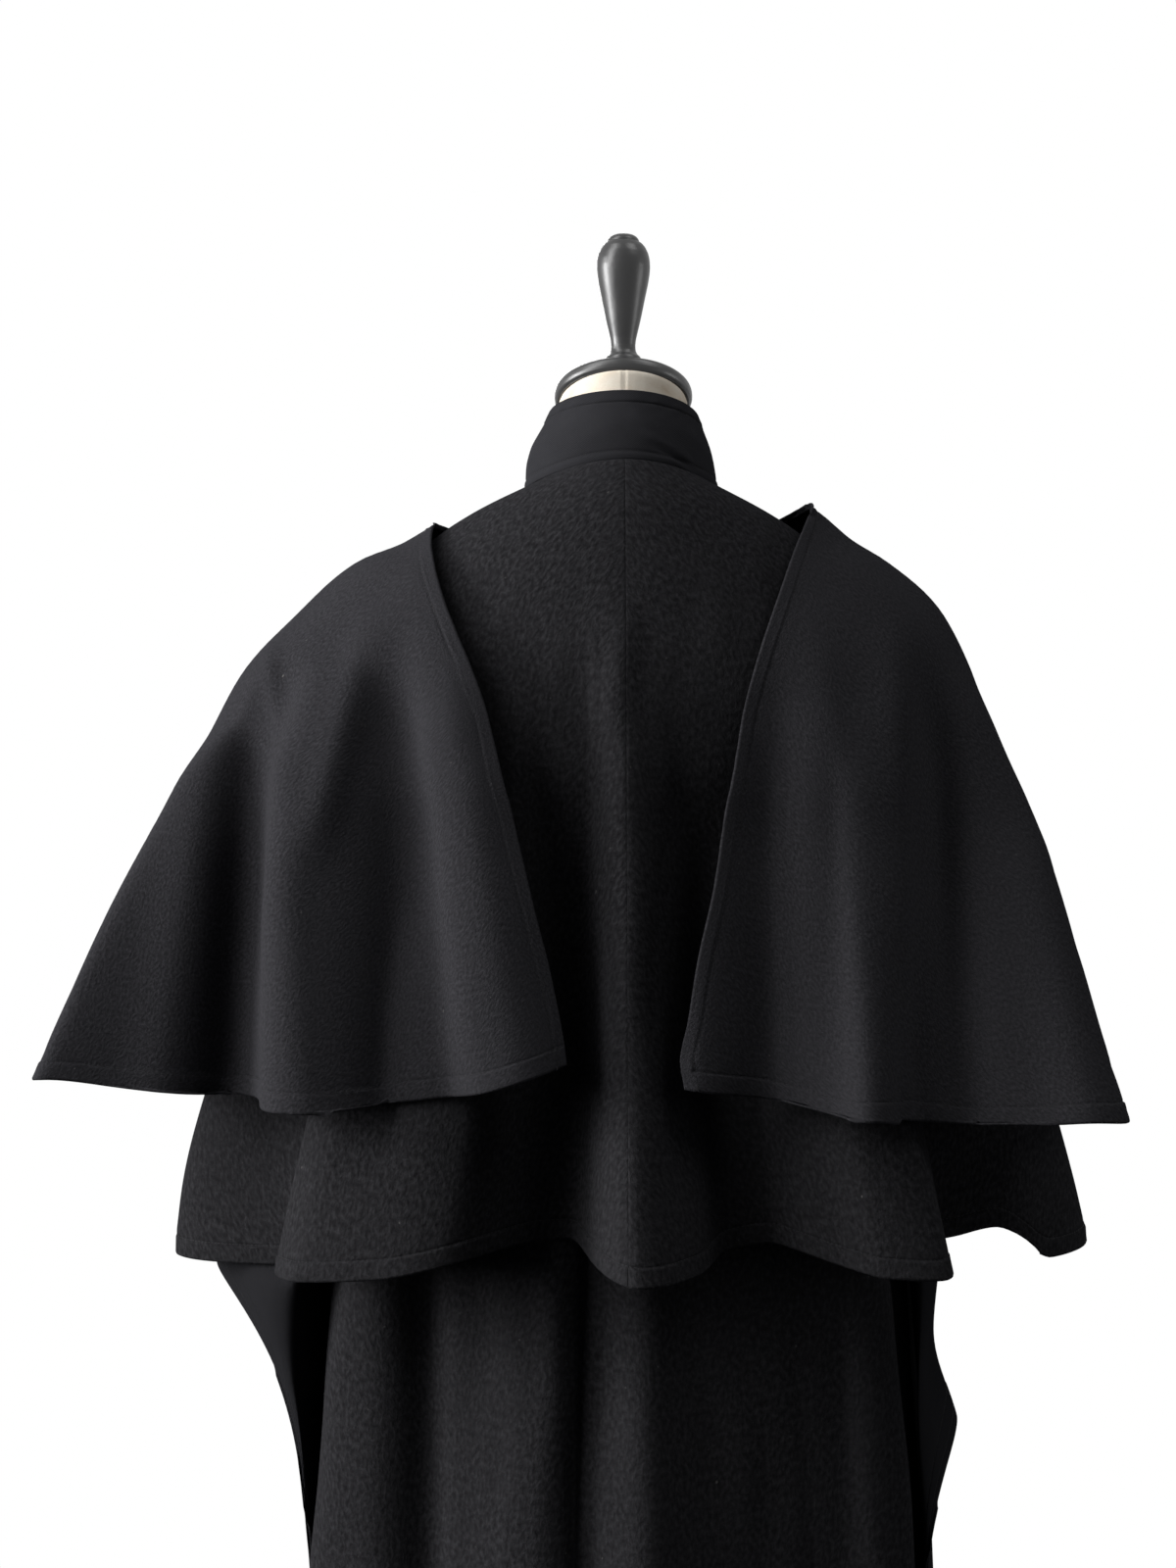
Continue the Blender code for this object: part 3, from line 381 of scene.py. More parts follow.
def strip(layer, first, last, top, hem, grid):
    """Angles and levels of a panel between two seams, its columns even along the hem."""
    down, _ = np.meshgrid(shares(grid[0]), shares(grid[1]), indexing="ij")
    hem_level = hem(np.array([(first + last) / 2]))[0]
    across = even_columns(layer, first, last, shares(grid[0]), hem_level, grid[1])
    angle = first + (last - first) * across
    level = top(angle) + (hem(angle) - top(angle)) * down
    low = first + seam_inset(layer, first, level)
    high = last - seam_inset(layer, last, level)
    return low + (high - low) * across, level


def cape_hem(angle):
    return CENTRE_Z - CAPE_HEM_Z - follow_round(CAPE_HEM, angle) / 1000


def armhole_edge(level, reach):
    """How far the armhole's edge stands back from the side seam, in degrees."""
    top, foot = level_of(48, 0), level_of(0, 22)
    away = (level - (top + foot) / 2) / ((foot - top) / 2)
    return reach * np.sqrt(np.clip(1 - away ** 2, 0, 1))


def wing_grid(layer, edges, hem, grid):
    """Angles and levels of a wing: rows even along its back edge, columns even along its hem."""
    keys = [level_of(row[0], row[1]) for row in edges]
    fine = np.linspace(keys[0], CENTRE_Z - hem[-1][1], 400)
    back = follow(keys, [row[3] for row in edges], fine)
    line = place(back, fine, layer(back, fine))
    run = run_of(line, 0)
    way = (np.interp(shares(grid[0]) * run[-1], run, fine) - fine[0]) / (fine[-1] - fine[0])
    down, across = np.meshgrid(way, shares(grid[1]), indexing="ij")
    foot = CENTRE_Z - follow([row[0] for row in hem], [row[1] for row in hem], across)
    level = keys[0] + (foot - keys[0]) * down
    front = follow(keys, [row[2] for row in edges], level)
    back = follow(keys, [row[3] for row in edges], level)
    run = even_columns(layer, edges[-1][2], edges[-1][3], way, CENTRE_Z - WING_HEM_Z, grid[1])
    return front + (back - front) * run, level


def sleeve_surface(rows, middle, side):
    """Points of a sleeve by share around, from its back edge over its outside, and share of its length."""
    keys = np.linspace(0, 1, len(rows))
    inner = [level_of(row[1], row[2]) for row in rows]
    outer = [level_of(row[3], row[4]) for row in rows]

    def surface(around, along):
        half, radius, full, rise = (follow(keys, [row[i] for row in rows], along) for i in (0, 5, 6, 7))
        low, high = follow(keys, inner, along), follow(keys, outer, along)
        turn = 2 * np.pi * around
        out = (1 + np.sin(turn)) / 2
        angle = middle + side * half * np.cos(turn)
        level = low + (high - low) * out
        rest = coat_cloth(angle, level) + SLEEVE_GAP
        reach = np.maximum(radius / 1000 - rest, 0) * full * out ** rise
        shift = SLEEVE_SHIFT * np.cos(turn) * out * along ** 4
        past_hem = np.maximum(level - cape_hem(angle), 0)
        roof = cape_cloth(angle, level) - WOOL - 3 * LAYER_GAP + past_hem
        return place(angle, level, -above(-(rest + reach - shift), -roof))

    return surface


def collar_surface(angle, share):
    """The collar: from just over the neck seam up to its top edge."""
    keys = [row[0] for row in COLLAR_ROWS]
    left, right, back, front = (follow(keys, [row[i] for row in COLLAR_ROWS], share) for i in range(1, 5))
    along, across = np.cos(np.radians(angle)), np.sin(np.radians(angle))
    flat = ((along / np.where(along > 0, left, right)) ** 2
            + (across / np.where(across > 0, back, front)) ** 2) ** -0.5 / 1000
    seam = neck_level(angle)
    foot = place(angle, seam, cape_radius(angle, seam))[..., 2] + 4 * SEAM
    head = follow_round(sorted(COLLAR_TOP.items()), angle)
    return np.stack([flat * along, flat * across, foot + (head - foot) * share], -1)


# ---------------------------------------------------------------- creases

# Soft ridges (height above 0) and troughs that the part's plain folds leave out: where each starts and
# ends (angle, elevation, drop in mm), half its width and its height in mm, and the share of its length
# over which it fades in and out.
# Columns: from angle, elevation, drop; to angle, elevation, drop; width, height, fade in, fade out.
WING_CREASES = (
    (29, 40, 0, 40, 0, 60, 16, 1.5, 0.3, 0.6),
)
CAPE_CREASES = (
    (84, 40, 0, 86, 0, 140, 9, 1.2, 0.4, 0.5), (80, 50, 0, 81, 0, 30, 3, 0.9, 0.3, 0.4),
    (82, 49, 0, 83, 0, 10, 2, -0.7, 0.3, 0.4), (78, 47, 0, 79, 0, 20, 3, -0.7, 0.4, 0.5),
    (97, 46, 0, 101, 0, 60, 8, 1.3, 0.4, 0.6), (64, 48, 0, 62, 0, 20, 12, -1.6, 0.4, 0.5),
    (107, 46, 0, 105, 0, 120, 13, -1.6, 0.3, 0.5),
)
COAT_CREASES = (
    (84, 0, 380, 85, 0, 800, 8, 1.4, 0.3, 0.4), (58, 0, 420, 57, 0, 760, 9, -1.3, 0.3, 0.4),
    (101, 0, 400, 102, 0, 820, 9, -1.2, 0.3, 0.4), (122, 0, 420, 121, 0, 800, 10, 1.4, 0.3, 0.4),
    (250, 0, 60, 244, 0, 420, 10, 1.4, 0.3, 0.5), (296, 0, 90, 301, 0, 500, 10, 1.4, 0.3, 0.5),
)
# Folds drawn on the back as it is seen, each along a line from (X, Z) to (X, Z) in metres: how wide and
# how high in mm (below zero for a trough), and the shares of its length over which it fades in and out.
BACK_FOLDS = {
    "wing": (
        (0.308, 1.225, 0.318, 0.800, 18, -12.0, 0.20, 0.05), (0.337, 1.190, 0.378, 0.800, 26, 8.0, 0.30, 0.05),
        (0.297, 1.260, 0.266, 1.110, 9, 5.0, 0.20, 0.40), (0.277, 1.200, 0.261, 0.800, 17, 8.5, 0.30, 0.10),
        (0.198, 1.295, 0.254, 1.050, 16, 7.0, 0.30, 0.30), (0.176, 1.260, 0.168, 0.830, 28, -8.0, 0.20, 0.20),
        (0.154, 1.260, 0.050, 0.800, 24, 8.0, 0.20, 0.10),
        (-0.168, 1.230, -0.148, 0.800, 19, -8.0, 0.30, 0.05),
        (-0.216, 1.290, -0.202, 0.800, 20, 11.0, 0.20, 0.05),
        (-0.254, 1.250, -0.266, 0.800, 19, -12.0, 0.20, 0.05),
        (-0.316, 1.170, -0.358, 0.800, 28, 11.0, 0.30, 0.05),
    ),
    "coat_back": (
        (0.197, 0.900, 0.204, 0.150, 20, 4.0, 0.10, 0.40), (0.160, 0.900, 0.156, 0.100, 15, -9.0, 0.10, 0.30),
        (0.050, 0.900, 0.046, 0.300, 4, -1.2, 0.10, 0.50), (0.050, 0.900, 0.048, 0.150, 19, 9.0, 0.10, 0.40),
        (-0.012, 0.900, -0.024, 0.200, 16, 6.0, 0.10, 0.40),
        (-0.125, 0.900, -0.138, 0.150, 22, 5.0, 0.10, 0.40),
        (-0.167, 0.900, -0.184, 0.120, 17, -9.0, 0.10, 0.40),
    ),
    "collar": (
        (-0.010, 1.427, -0.062, 1.398, 2.6, 1.5, 0.35, 0.20),
        (-0.014, 1.419, -0.062, 1.392, 2.4, -1.1, 0.35, 0.20),
        (-0.026, 1.409, -0.064, 1.388, 2.6, 1.2, 0.40, 0.20),
    ),
}
RIPPLE_SEED = 7
RIPPLE_WAVES = 14
RIPPLE_LENGTHS = (0.055, 0.160)  # shortest and longest unevenness of hanging cloth
RIPPLE_HEIGHT = 0.0007


def smooth(share):
    share = np.clip(share, 0, 1)
    return share * share * (3 - 2 * share)


def crease_rise(creases, angle, level, layer_radius):
    """Height of the listed ridges and troughs, in metres."""
    total = np.zeros(np.broadcast(angle, level).shape)
    for a0, e0, d0, a1, e1, d1, width, height, fade_in, fade_out in creases:
        low, high = level_of(e0, d0), level_of(e1, d1)
        way = (level - low) / (high - low)
        held = np.clip(way, 0, 1)
        line = a0 + (a1 - a0) * held
        away = np.radians(np.mod(angle - line + 180, 360) - 180) * layer_radius * 1000
        lean = np.radians(a1 - a0) * 0.3 / (high - low)
        away = away / np.sqrt(1 + lean ** 2)
        fade = smooth(way / fade_in) * smooth((1 - way) / fade_out)
        total = total + height / 1000 * np.exp(-((away / width) ** 2)) * fade
    return total


def back_folds(rows, points, normal):
    """Height of the folds drawn on the back, in metres, where the cloth faces back."""
    total = np.zeros(points.shape[:-1])
    for x0, z0, x1, z1, width, height, fade_in, fade_out in rows:
        length = math.hypot(x1 - x0, z1 - z0)
        over, down = (x1 - x0) / length, (z1 - z0) / length
        from_x, from_z = points[..., 0] - x0, points[..., 2] - z0
        way = (from_x * over + from_z * down) / length
        away = (from_x * down - from_z * over) * 1000
        fade = smooth(way / fade_in) * smooth((1 - way) / fade_out)
        total = total + height / 1000 * np.exp(-((away / width) ** 2)) * fade
    return total * smooth(normal[..., 1] / 0.35)


def ripple(angle, level, seed):
    """Gentle unevenness of hanging cloth, the same every run."""
    rng = np.random.default_rng(RIPPLE_SEED + seed)
    around = np.radians(np.mod(angle, 360)) * 0.28
    total = np.zeros(np.broadcast(angle, level).shape)
    for _ in range(RIPPLE_WAVES):
        length = rng.uniform(*RIPPLE_LENGTHS)
        heading = rng.uniform(-0.9, 0.9)
        phase = rng.uniform(0, 2 * math.pi)
        way = around * math.cos(heading) + level * math.sin(heading) * 0.6
        total = total + np.sin(2 * math.pi * way / length + phase)
    return RIPPLE_HEIGHT * total / math.sqrt(RIPPLE_WAVES / 2)


def coat_cloth(angle, level):
    base = coat_radius(angle, level)
    below = smooth((level + 0.02) / 0.12)
    return base + crease_rise(COAT_CREASES, angle, level, base) + ripple(angle, level, 1) * below


def coat_right_front_cloth(angle, level):
    return coat_cloth(angle, level) + overlap_lift(angle)


def cape_cloth(angle, level):
    free = free_radius(CAPE_FOLDS, CAPE_RINGS, CAPE_HEM_Z, angle, level)
    uneven = ripple(angle, level, 2) * smooth((level + 0.33) / 0.1)
    free = free + crease_rise(CAPE_CREASES, angle, level, free) + uneven
    return above(free, coat_cloth(angle, level) + WOOL + LAYER_GAP + sleeve_room(angle, level))


def wing_cloth(angle, level):
    free = free_radius(WING_FOLDS, WING_RINGS, WING_HEM_Z, angle, level)
    uneven = ripple(angle, level, 3) * smooth((level + 0.28) / 0.1)
    free = free + crease_rise(WING_CREASES, angle, level, free) + uneven
    return above(free, cape_cloth(angle, level) + WOOL + 2 * LAYER_GAP)


# ---------------------------------------------------------------- grids of cloth

# Distances in mm from a worked edge at which a grid has its rows, so that bands and stitch lines are
# drawn sharply, and the most rows or columns between the edges.
PLAIN_EDGE = (2.4, 5.0, 9.0, 14.0, 20.0)
HEM_EDGE = (2.0, 4.0, 7.0, 10.5, 13.0, 14.2, 15.0, 15.6, 16.2, 17.0, 18.2, 20.5, 24.0, 30.0)
FINE_EDGE = (2.0, 4.5, 7.0, 8.4, 9.2, 10.2, 11.0, 11.8, 13.0, 16.0, 21.0)
COUNTS = {
    "wing": (96, 176), "cape_back": (104, 118), "cape_front": (80, 84), "coat_back": (120, 84),
    "coat_front": (110, 72), "sleeve": (110, 112), "collar": (34, 170),
}
ROUND_STEPS = (0.25, 0.5, 0.75)  # shares of the half turn round a cloth's edge that have points


def run_of(points, axis):
    """Distance along the cloth from the grid's first row or column."""
    step = np.linalg.norm(np.diff(points, axis=axis), axis=-1)
    run = np.cumsum(step, axis=axis)
    zero = np.zeros_like(np.take(run, [0], axis=axis))
    return np.concatenate([zero, run], axis=axis)


def stations(length, head, tail, count):
    """Distances along a line of cloth: named near its two ends, even between."""
    head, tail = np.concatenate([[0], head]) / 1000, np.concatenate([[0], tail]) / 1000
    short = min(1.0, 0.45 * length / max(head[-1], tail[-1]))
    head, tail = head * short, tail * short
    middle = np.linspace(head[-1], length - tail[-1], count - len(head) - len(tail) + 2)[1:-1]
    return np.concatenate([head, middle, length - tail[::-1]])


def respace(surface, angle, level, axis, head, tail, count):
    """The same patch of a layer with its rows or columns at stations along the cloth."""
    if axis == 1:
        turned = lambda a, b: surface(a.T, b.T).transpose(1, 0, 2)
        made = respace(turned, angle.T, level.T, 0, head, tail, count)
        return made[0].T, made[1].T
    run = run_of(surface(angle, level), 0)
    angles, levels = np.empty((count, angle.shape[1])), np.empty((count, angle.shape[1]))
    for j in range(angle.shape[1]):
        at = stations(run[-1, j], head, tail, count)
        angles[:, j] = np.interp(at, run[:, j], angle[:, j])
        levels[:, j] = np.interp(at, run[:, j], level[:, j])
    return angles, levels


def grid_normals(points, ring=False):
    down = np.gradient(points, axis=0)
    if ring:
        along = (np.roll(points, -1, axis=1) - np.roll(points, 1, axis=1)) / 2
    else:
        along = np.gradient(points, axis=1)
    cross = np.cross(down, along)
    return cross / np.maximum(np.linalg.norm(cross, axis=-1, keepdims=True), 1e-12)


def band(away, width, rise):
    """A turned edge: raised out to its stitch line."""
    return rise * (1 - smooth((away - width + 0.0012) / 0.0024))


def groove(away, at, depth, width=0.0008):
    return -depth * np.exp(-(((away - at) / width) ** 2))


def puckers(along, away, at, seed, height=0.00022, reach=0.009):
    """Small drawn-up waves beside a stitch line."""
    rng = np.random.default_rng(seed)
    total = np.zeros(np.broadcast(along, away).shape)
    for length in rng.uniform(0.007, 0.022, 7):
        total = total + np.sin(2 * math.pi * along / length + rng.uniform(0, 6.283))
    return height * total / 2 * np.exp(-(((away - at) / reach) ** 2))


# ---------------------------------------------------------------- meshes


def make_object(name, points, faces, face_uvs, bake_uvs, slot):
    mesh = bpy.data.meshes.new(name)
    mesh.from_pydata(np.asarray(points, float).tolist(), [], faces)
    for label, uvs in (("cloth", face_uvs), ("OFBake", bake_uvs)):
        if uvs is not None:
            layer = mesh.uv_layers.new(name=label)
            layer.uv.foreach_set("vector", np.asarray(uvs, np.float32).ravel())
    mesh.materials.append(MATERIALS[slot])
    mesh.polygons.foreach_set("use_smooth", np.ones(len(mesh.polygons), bool))
    mesh.update()
    obj = bpy.data.objects.new(name, mesh)
    bpy.context.scene.collection.objects.link(obj)
    return obj


def loop_of(rows, cols):
    """Rows and columns of a grid's border, in order."""
    top = [(0, j) for j in range(cols)]
    right = [(i, cols - 1) for i in range(1, rows)]
    foot = [(rows - 1, j) for j in range(cols - 2, -1, -1)]
    left = [(i, 0) for i in range(rows - 2, 0, -1)]
    return np.array(top + right + foot + left)


def shell(name, outer, thick, slot, u, v, ring=False):
    """A thin closed shell of cloth: its face, its back, and a rounded turn between them at every edge.

    thick is the cloth's thickness at each point of the grid. u and v are metres along the cloth.
    """
    rows, cols = outer.shape[:2]
    thick = np.broadcast_to(thick, (rows, cols)).astype(float)
    normal = grid_normals(outer, ring)
    outer = outer.copy()
    if ring:
        across = np.arange(cols)
        loops = [np.stack([np.zeros(cols, int), across], 1),
                 np.stack([np.full(cols, rows - 1), across[::-1]], 1)]
    else:
        loops = [loop_of(rows, cols)]
    outs = []
    for loop in loops:
        i, j = loop.T
        edge = outer[i, j]
        tangent = np.roll(edge, -1, axis=0) - np.roll(edge, 1, axis=0)
        out = np.cross(normal[i, j], tangent)
        out /= np.linalg.norm(out, axis=-1, keepdims=True)
        outer[i, j] -= out * thick[i, j][:, None] / 2
        outs.append(out)
    normal = grid_normals(outer, ring)
    inner = outer - normal * thick[..., None]
    count = rows * cols
    points = [outer.reshape(-1, 3), inner.reshape(-1, 3)]
    grid = np.arange(count).reshape(rows, cols)
    after = np.roll(grid, -1, axis=1) if ring else grid[:, 1:]
    before = grid if ring else grid[:, :-1]
    a, b, c, d = before[:-1], after[:-1], after[1:], before[1:]
    outside = np.stack([a, d, c, b], -1).reshape(-1, 4)
    inside = np.stack([a, b, c, d], -1).reshape(-1, 4) + count
    u_after = np.concatenate([u[:, 1:], u[:, -1:] + (u[:, -1:] - u[:, -2:-1])], 1) if ring else u[:, 1:]
    u_before = u if ring else u[:, :-1]
    v_after = np.roll(v, -1, axis=1) if ring else v[:, 1:]
    v_before = v if ring else v[:, :-1]
    corner = {
        "a": (u_before[:-1], v_before[:-1]), "b": (u_after[:-1], v_after[:-1]),
        "c": (u_after[1:], v_after[1:]), "d": (u_before[1:], v_before[1:]),
    }

    def uv_of(order):
        return np.stack([np.stack(corner[k], -1) for k in order], 2).reshape(-1, 4, 2)

    face_uv = [uv_of("adcb"), uv_of("abcd")]
    u_span, v_span = (u.min(), np.max(u_after)), (v.min(), v.max())

    def packed(uv, left):
        share = (uv - [u_span[0], v_span[0]]) / [u_span[1] - u_span[0], v_span[1] - v_span[0]]
        return share * [0.47, 0.93] + [left, 0.055]

    bake_uv = [packed(face_uv[0], 0.015), packed(face_uv[1], 0.515)]
    faces = [outside, inside]
    offset = 2 * count
    for number, (loop, out) in enumerate(zip(loops, outs)):
        i, j = loop.T
        middle, half = (outer[i, j] + inner[i, j]) / 2, thick[i, j][:, None] / 2
        toward = (outer[i, j] - inner[i, j]) / np.maximum(2 * half, 1e-9)
        size = len(loop)
        rings = [grid[i, j]]
        for share in ROUND_STEPS:
            turn = math.pi * share
            points.append(middle + toward * half * math.cos(turn) + out * half * math.sin(turn))
            rings.append(offset + np.arange(size))
            offset += size
        rings.append(grid[i, j] + count)
        place_u, place_v = u[i, j], v[i, j]
        next_u, next_v = np.roll(place_u, -1), np.roll(place_v, -1)
        along = np.arange(size) / size * 0.97 + 0.015
        for k in range(len(rings) - 1):
            one, two = rings[k], rings[k + 1]
            faces.append(np.stack([one, np.roll(one, -1), np.roll(two, -1), two], -1))
            near = np.stack([place_u, place_v], -1)
            far = np.stack([next_u, next_v], -1)
            face_uv.append(np.stack([near, far, far, near], 1))
            high = 0.024 * number + 0.006 + 0.0045 * np.array([k, k, k + 1, k + 1])
            step = 0.97 / size
            sides = along[:, None] + np.array([0, step, step, 0])
            bake_uv.append(np.stack([sides, np.broadcast_to(high, sides.shape)], -1))
    return make_object(
        name, np.concatenate(points), np.concatenate(faces).tolist(),
        np.concatenate([x.reshape(-1, 2) for x in face_uv]),
        np.concatenate([x.reshape(-1, 2) for x in bake_uv]), slot,
    )


STITCH_SIDES = 6
STITCH_PROFILE = ((-0.5, 0.0), (-0.42, 0.7), (-0.15, 1.0), (0.15, 1.0), (0.42, 0.7), (0.5, 0.0))


def stitches(name, lines, pitch=0.0036, length=0.0026, thickness=0.00028, sink=0.35):
    """One object of sewn stitches along lines of (points, normals) on the cloth."""
    rng = np.random.default_rng(len(name))
    turn = 2 * math.pi * np.arange(STITCH_SIDES) / STITCH_SIDES
    points, faces, total = [], [], 0
    for line, normal in lines:
        run = run_of(line, 0)
        at = np.arange(pitch / 2, run[-1], pitch)
        at = at + rng.normal(0, pitch * 0.03, len(at))
        if len(at) < 1:
            continue
        sample = lambda values, where: np.stack([np.interp(where, run, values[:, k]) for k in range(3)], -1)
        centre, up = sample(line, at), sample(normal, at)
        ahead = sample(line, at + pitch * 0.4) - sample(line, at - pitch * 0.4)
        ahead /= np.linalg.norm(ahead, axis=1, keepdims=True)
        up /= np.linalg.norm(up, axis=1, keepdims=True)
        side = np.cross(up, ahead)
        tilt = rng.normal(0, 0.06, len(at))[:, None]
        ahead = ahead + side * tilt
        centre = centre + up * thickness * (1 - 2 * sink)
        rings = []
        for share, width in STITCH_PROFILE[1:-1]:
            ring = (centre[:, None] + ahead[:, None] * share * length
                    + thickness * width * (np.cos(turn)[None, :, None] * side[:, None]
                                           + np.sin(turn)[None, :, None] * up[:, None]))
            rings.append(ring)
        ends = np.stack([centre - ahead * length / 2, centre + ahead * length / 2], 1)
        block = np.concatenate([np.concatenate(rings, 1), ends], 1)
        size = block.shape[1]
        base = total + size * np.arange(len(at))
        points.append(block.reshape(-1, 3))
        total += size * len(at)
        local = []
        last = (len(rings) - 1) * STITCH_SIDES
        for k in range(STITCH_SIDES):
            n = (k + 1) % STITCH_SIDES
            for r in range(len(rings) - 1):
                p = r * STITCH_SIDES
                local.append((p + k, p + k + STITCH_SIDES, p + n + STITCH_SIDES, p + n))
            local.append((size - 2, k, n, n))
            local.append((size - 1, last + n, last + k, last + k))
        local = np.array(local)
        faces.append((base[:, None, None] + local[None]).reshape(-1, 4))
    made = [tuple(dict.fromkeys(f)) for f in np.concatenate(faces).tolist()]
    return make_object(name, np.concatenate(points), made, None, None, "thread")


def line_at(points, normals, away, wanted, axis):
    """The line on a grid at a distance from an edge: away is that distance at each point."""
    if axis == 1:
        return line_at(points.transpose(1, 0, 2), normals.transpose(1, 0, 2), away.T, wanted, 0)
    line, facing = [], []
    for j in range(points.shape[1]):
        order = np.argsort(away[:, j])
        keys = away[order, j]
        line.append([np.interp(wanted, keys, points[order, j, k]) for k in range(3)])
        facing.append([np.interp(wanted, keys, normals[order, j, k]) for k in range(3)])
    return np.array(line), np.array(facing)


# ---------------------------------------------------------------- materials

MATERIALS = {}


class Nodes:
    """A short way to build a material's nodes."""

    def __init__(self, name):
        self.material = bpy.data.materials.new(name)
        self.material.use_nodes = True
        self.tree = self.material.node_tree
        self.shader = self.tree.nodes["Principled BSDF"]
        MATERIALS[name] = self.material

    def add(self, kind, inputs=None, **settings):
        node = self.tree.nodes.new("ShaderNode" + kind)
        for key, value in settings.items():
            setattr(node, key, value)
        for key, value in (inputs or {}).items():
            self.feed(node.inputs[key], value)
        return node

    def feed(self, socket, value):
        if isinstance(value, bpy.types.NodeSocket):
            self.tree.links.new(value, socket)
        else:
            socket.default_value = value

    def math(self, operation, first, second=0.0):
        return self.add("Math", {0: first, 1: second}, operation=operation).outputs[0]

    def scaled(self, coordinates, scale, offset=(0, 0, 0), turn=0.0):
        node = self.add("Mapping", {"Vector": coordinates, "Scale": scale, "Location": offset,
                                    "Rotation": (0, 0, turn)})
        return node.outputs[0]

    def noise(self, coordinates, detail=3.0, roughness=0.55, scale=1.0):
        node = self.add("TexNoise", {"Vector": coordinates, "Scale": scale, "Detail": detail,
                                     "Roughness": roughness})
        return node.outputs["Fac"]

    def ramp(self, value, stops):
        node = self.add("ValToRGB", {"Fac": value})
        elements = node.color_ramp.elements
        while len(elements) < len(stops):
            elements.new(0.5)
        for element, (at, colour) in zip(elements, stops):
            element.position = at
            element.color = (*colour, 1)
        return node.outputs["Color"]

    def level(self, value, low, high, out_low=0.0, out_high=1.0):
        node = self.add("MapRange", {"Value": value, "From Min": low, "From Max": high,
                                     "To Min": out_low, "To Max": out_high}, clamp=True)
        return node.outputs[0]

    def mix(self, share, first, second):
        node = self.add("Mix", {"Factor": share}, data_type="RGBA")
        self.feed(node.inputs[6], first)
        self.feed(node.inputs[7], second)
        return node.outputs[2]

    def bump(self, height, distance, strength=1.0, under=None):
        inputs = {"Height": height, "Distance": distance, "Strength": strength}
        if under is not None:
            inputs["Normal"] = under
        return self.add("Bump", inputs).outputs[0]

    def surface(self, colour, roughness, normal=None, **plain):
        self.feed(self.shader.inputs["Base Color"], colour)
        self.feed(self.shader.inputs["Roughness"], roughness)
        if normal is not None:
            self.feed(self.shader.inputs["Normal"], normal)
        for key, value in plain.items():
            self.shader.inputs[key.replace("_", " ")].default_value = value

    def cloth_map(self):
        return self.add("UVMap", uv_map="cloth").outputs[0]


def tinted(colour, factor):
    return tuple(c * factor for c in colour)


WOOL_COLOUR = (0.0200, 0.0197, 0.0214)
MELTON_COLOUR = (0.0275, 0.0270, 0.0300)
TWILL_COLOUR = (0.0275, 0.0275, 0.0305)


def wool(name, colour, nap, clump, across, along):
    """Napped wool: short fibres combed down the cloth, in soft clumps.

    nap and clump say how coarse it is, across and along how many clumps a metre has.
    """
    m = Nodes(name)
    cloth = m.cloth_map()
    fibre = m.noise(m.scaled(cloth, (1900, 1150, 1)), 2.0, 0.6)
    clumps = m.noise(m.scaled(cloth, (across, along, 1), (3, 7, 0)), 3.0, 0.55)
    drift = m.noise(m.scaled(cloth, (9, 6, 1), (11, 2, 0)), 2.0, 0.5)
    speck = m.noise(m.scaled(cloth, (210, 190, 1), (5, 31, 0)), 1.0, 0.4)
    shade = m.math("ADD", m.math("MULTIPLY", clumps, 0.62), m.math("MULTIPLY", fibre, 0.38))
    dark, light = tinted(colour, 1 - 0.30 * clump), tinted(colour, 1 + 0.50 * clump)
    body = m.ramp(shade, ((0.38, dark), (0.50, colour), (0.63, light)))
    worn = m.mix(m.level(drift, 0.35, 0.75, 0.0, 0.35), body, (*tinted(colour, 1.18), 1))
    lint = m.mix(m.level(speck, 0.80, 0.84, 0.0, 0.5), worn, (0.16, 0.155, 0.15, 1))
    low = m.bump(clumps, 0.0018 * nap, 0.5)
    fine = m.bump(fibre, 0.0007 * nap, 0.5, low)
    m.surface(lint, m.level(clumps, 0.3, 0.7, 0.86, 1.0), fine, Specular_IOR_Level=0.0,
              Sheen_Weight=0.02, Sheen_Roughness=0.45, Sheen_Tint=(0.82, 0.84, 0.95, 1))


def twill(name, colour, rib, depth):
    """Fine twill: slanted ribs a rib apart in metres, each thread a little uneven."""
    m = Nodes(name)
    cloth = m.cloth_map()
    wander = m.noise(m.scaled(cloth, (140, 60, 1)), 2.0, 0.5)
    turned = m.scaled(cloth, (1 / rib, 1 / rib, 1), turn=math.radians(52))
    across = m.add("SeparateXYZ", {"Vector": turned}).outputs[0]
    bent = m.math("ADD", across, m.math("MULTIPLY", wander, 0.5))
    wave = m.math("SINE", m.math("MULTIPLY", bent, 2 * math.pi))
    thread = m.noise(m.scaled(cloth, (1700, 700, 1)), 2.0, 0.6)
    drift = m.noise(m.scaled(cloth, (26, 16, 1), (4, 9, 0)), 3.0, 0.5)
    ribs = m.level(wave, -1.0, 1.0)
    shade = m.math("ADD", m.math("MULTIPLY", ribs, 0.40), m.math("MULTIPLY", thread, 0.60))
    body = m.ramp(shade, ((0.20, tinted(colour, 0.62)), (0.50, colour), (0.82, tinted(colour, 1.45))))
    tone = m.mix(m.level(drift, 0.3, 0.75, 0.0, 0.4), body, (*tinted(colour, 1.3), 1))
    low = m.bump(ribs, depth, 0.7)
    fine = m.bump(thread, depth * 0.7, 0.6, low)
    m.surface(tone, m.level(thread, 0.3, 0.7, 0.78, 0.94), fine, Specular_IOR_Level=0.0,
              Sheen_Weight=0.02, Sheen_Roughness=0.4, Sheen_Tint=(0.85, 0.87, 0.95, 1))


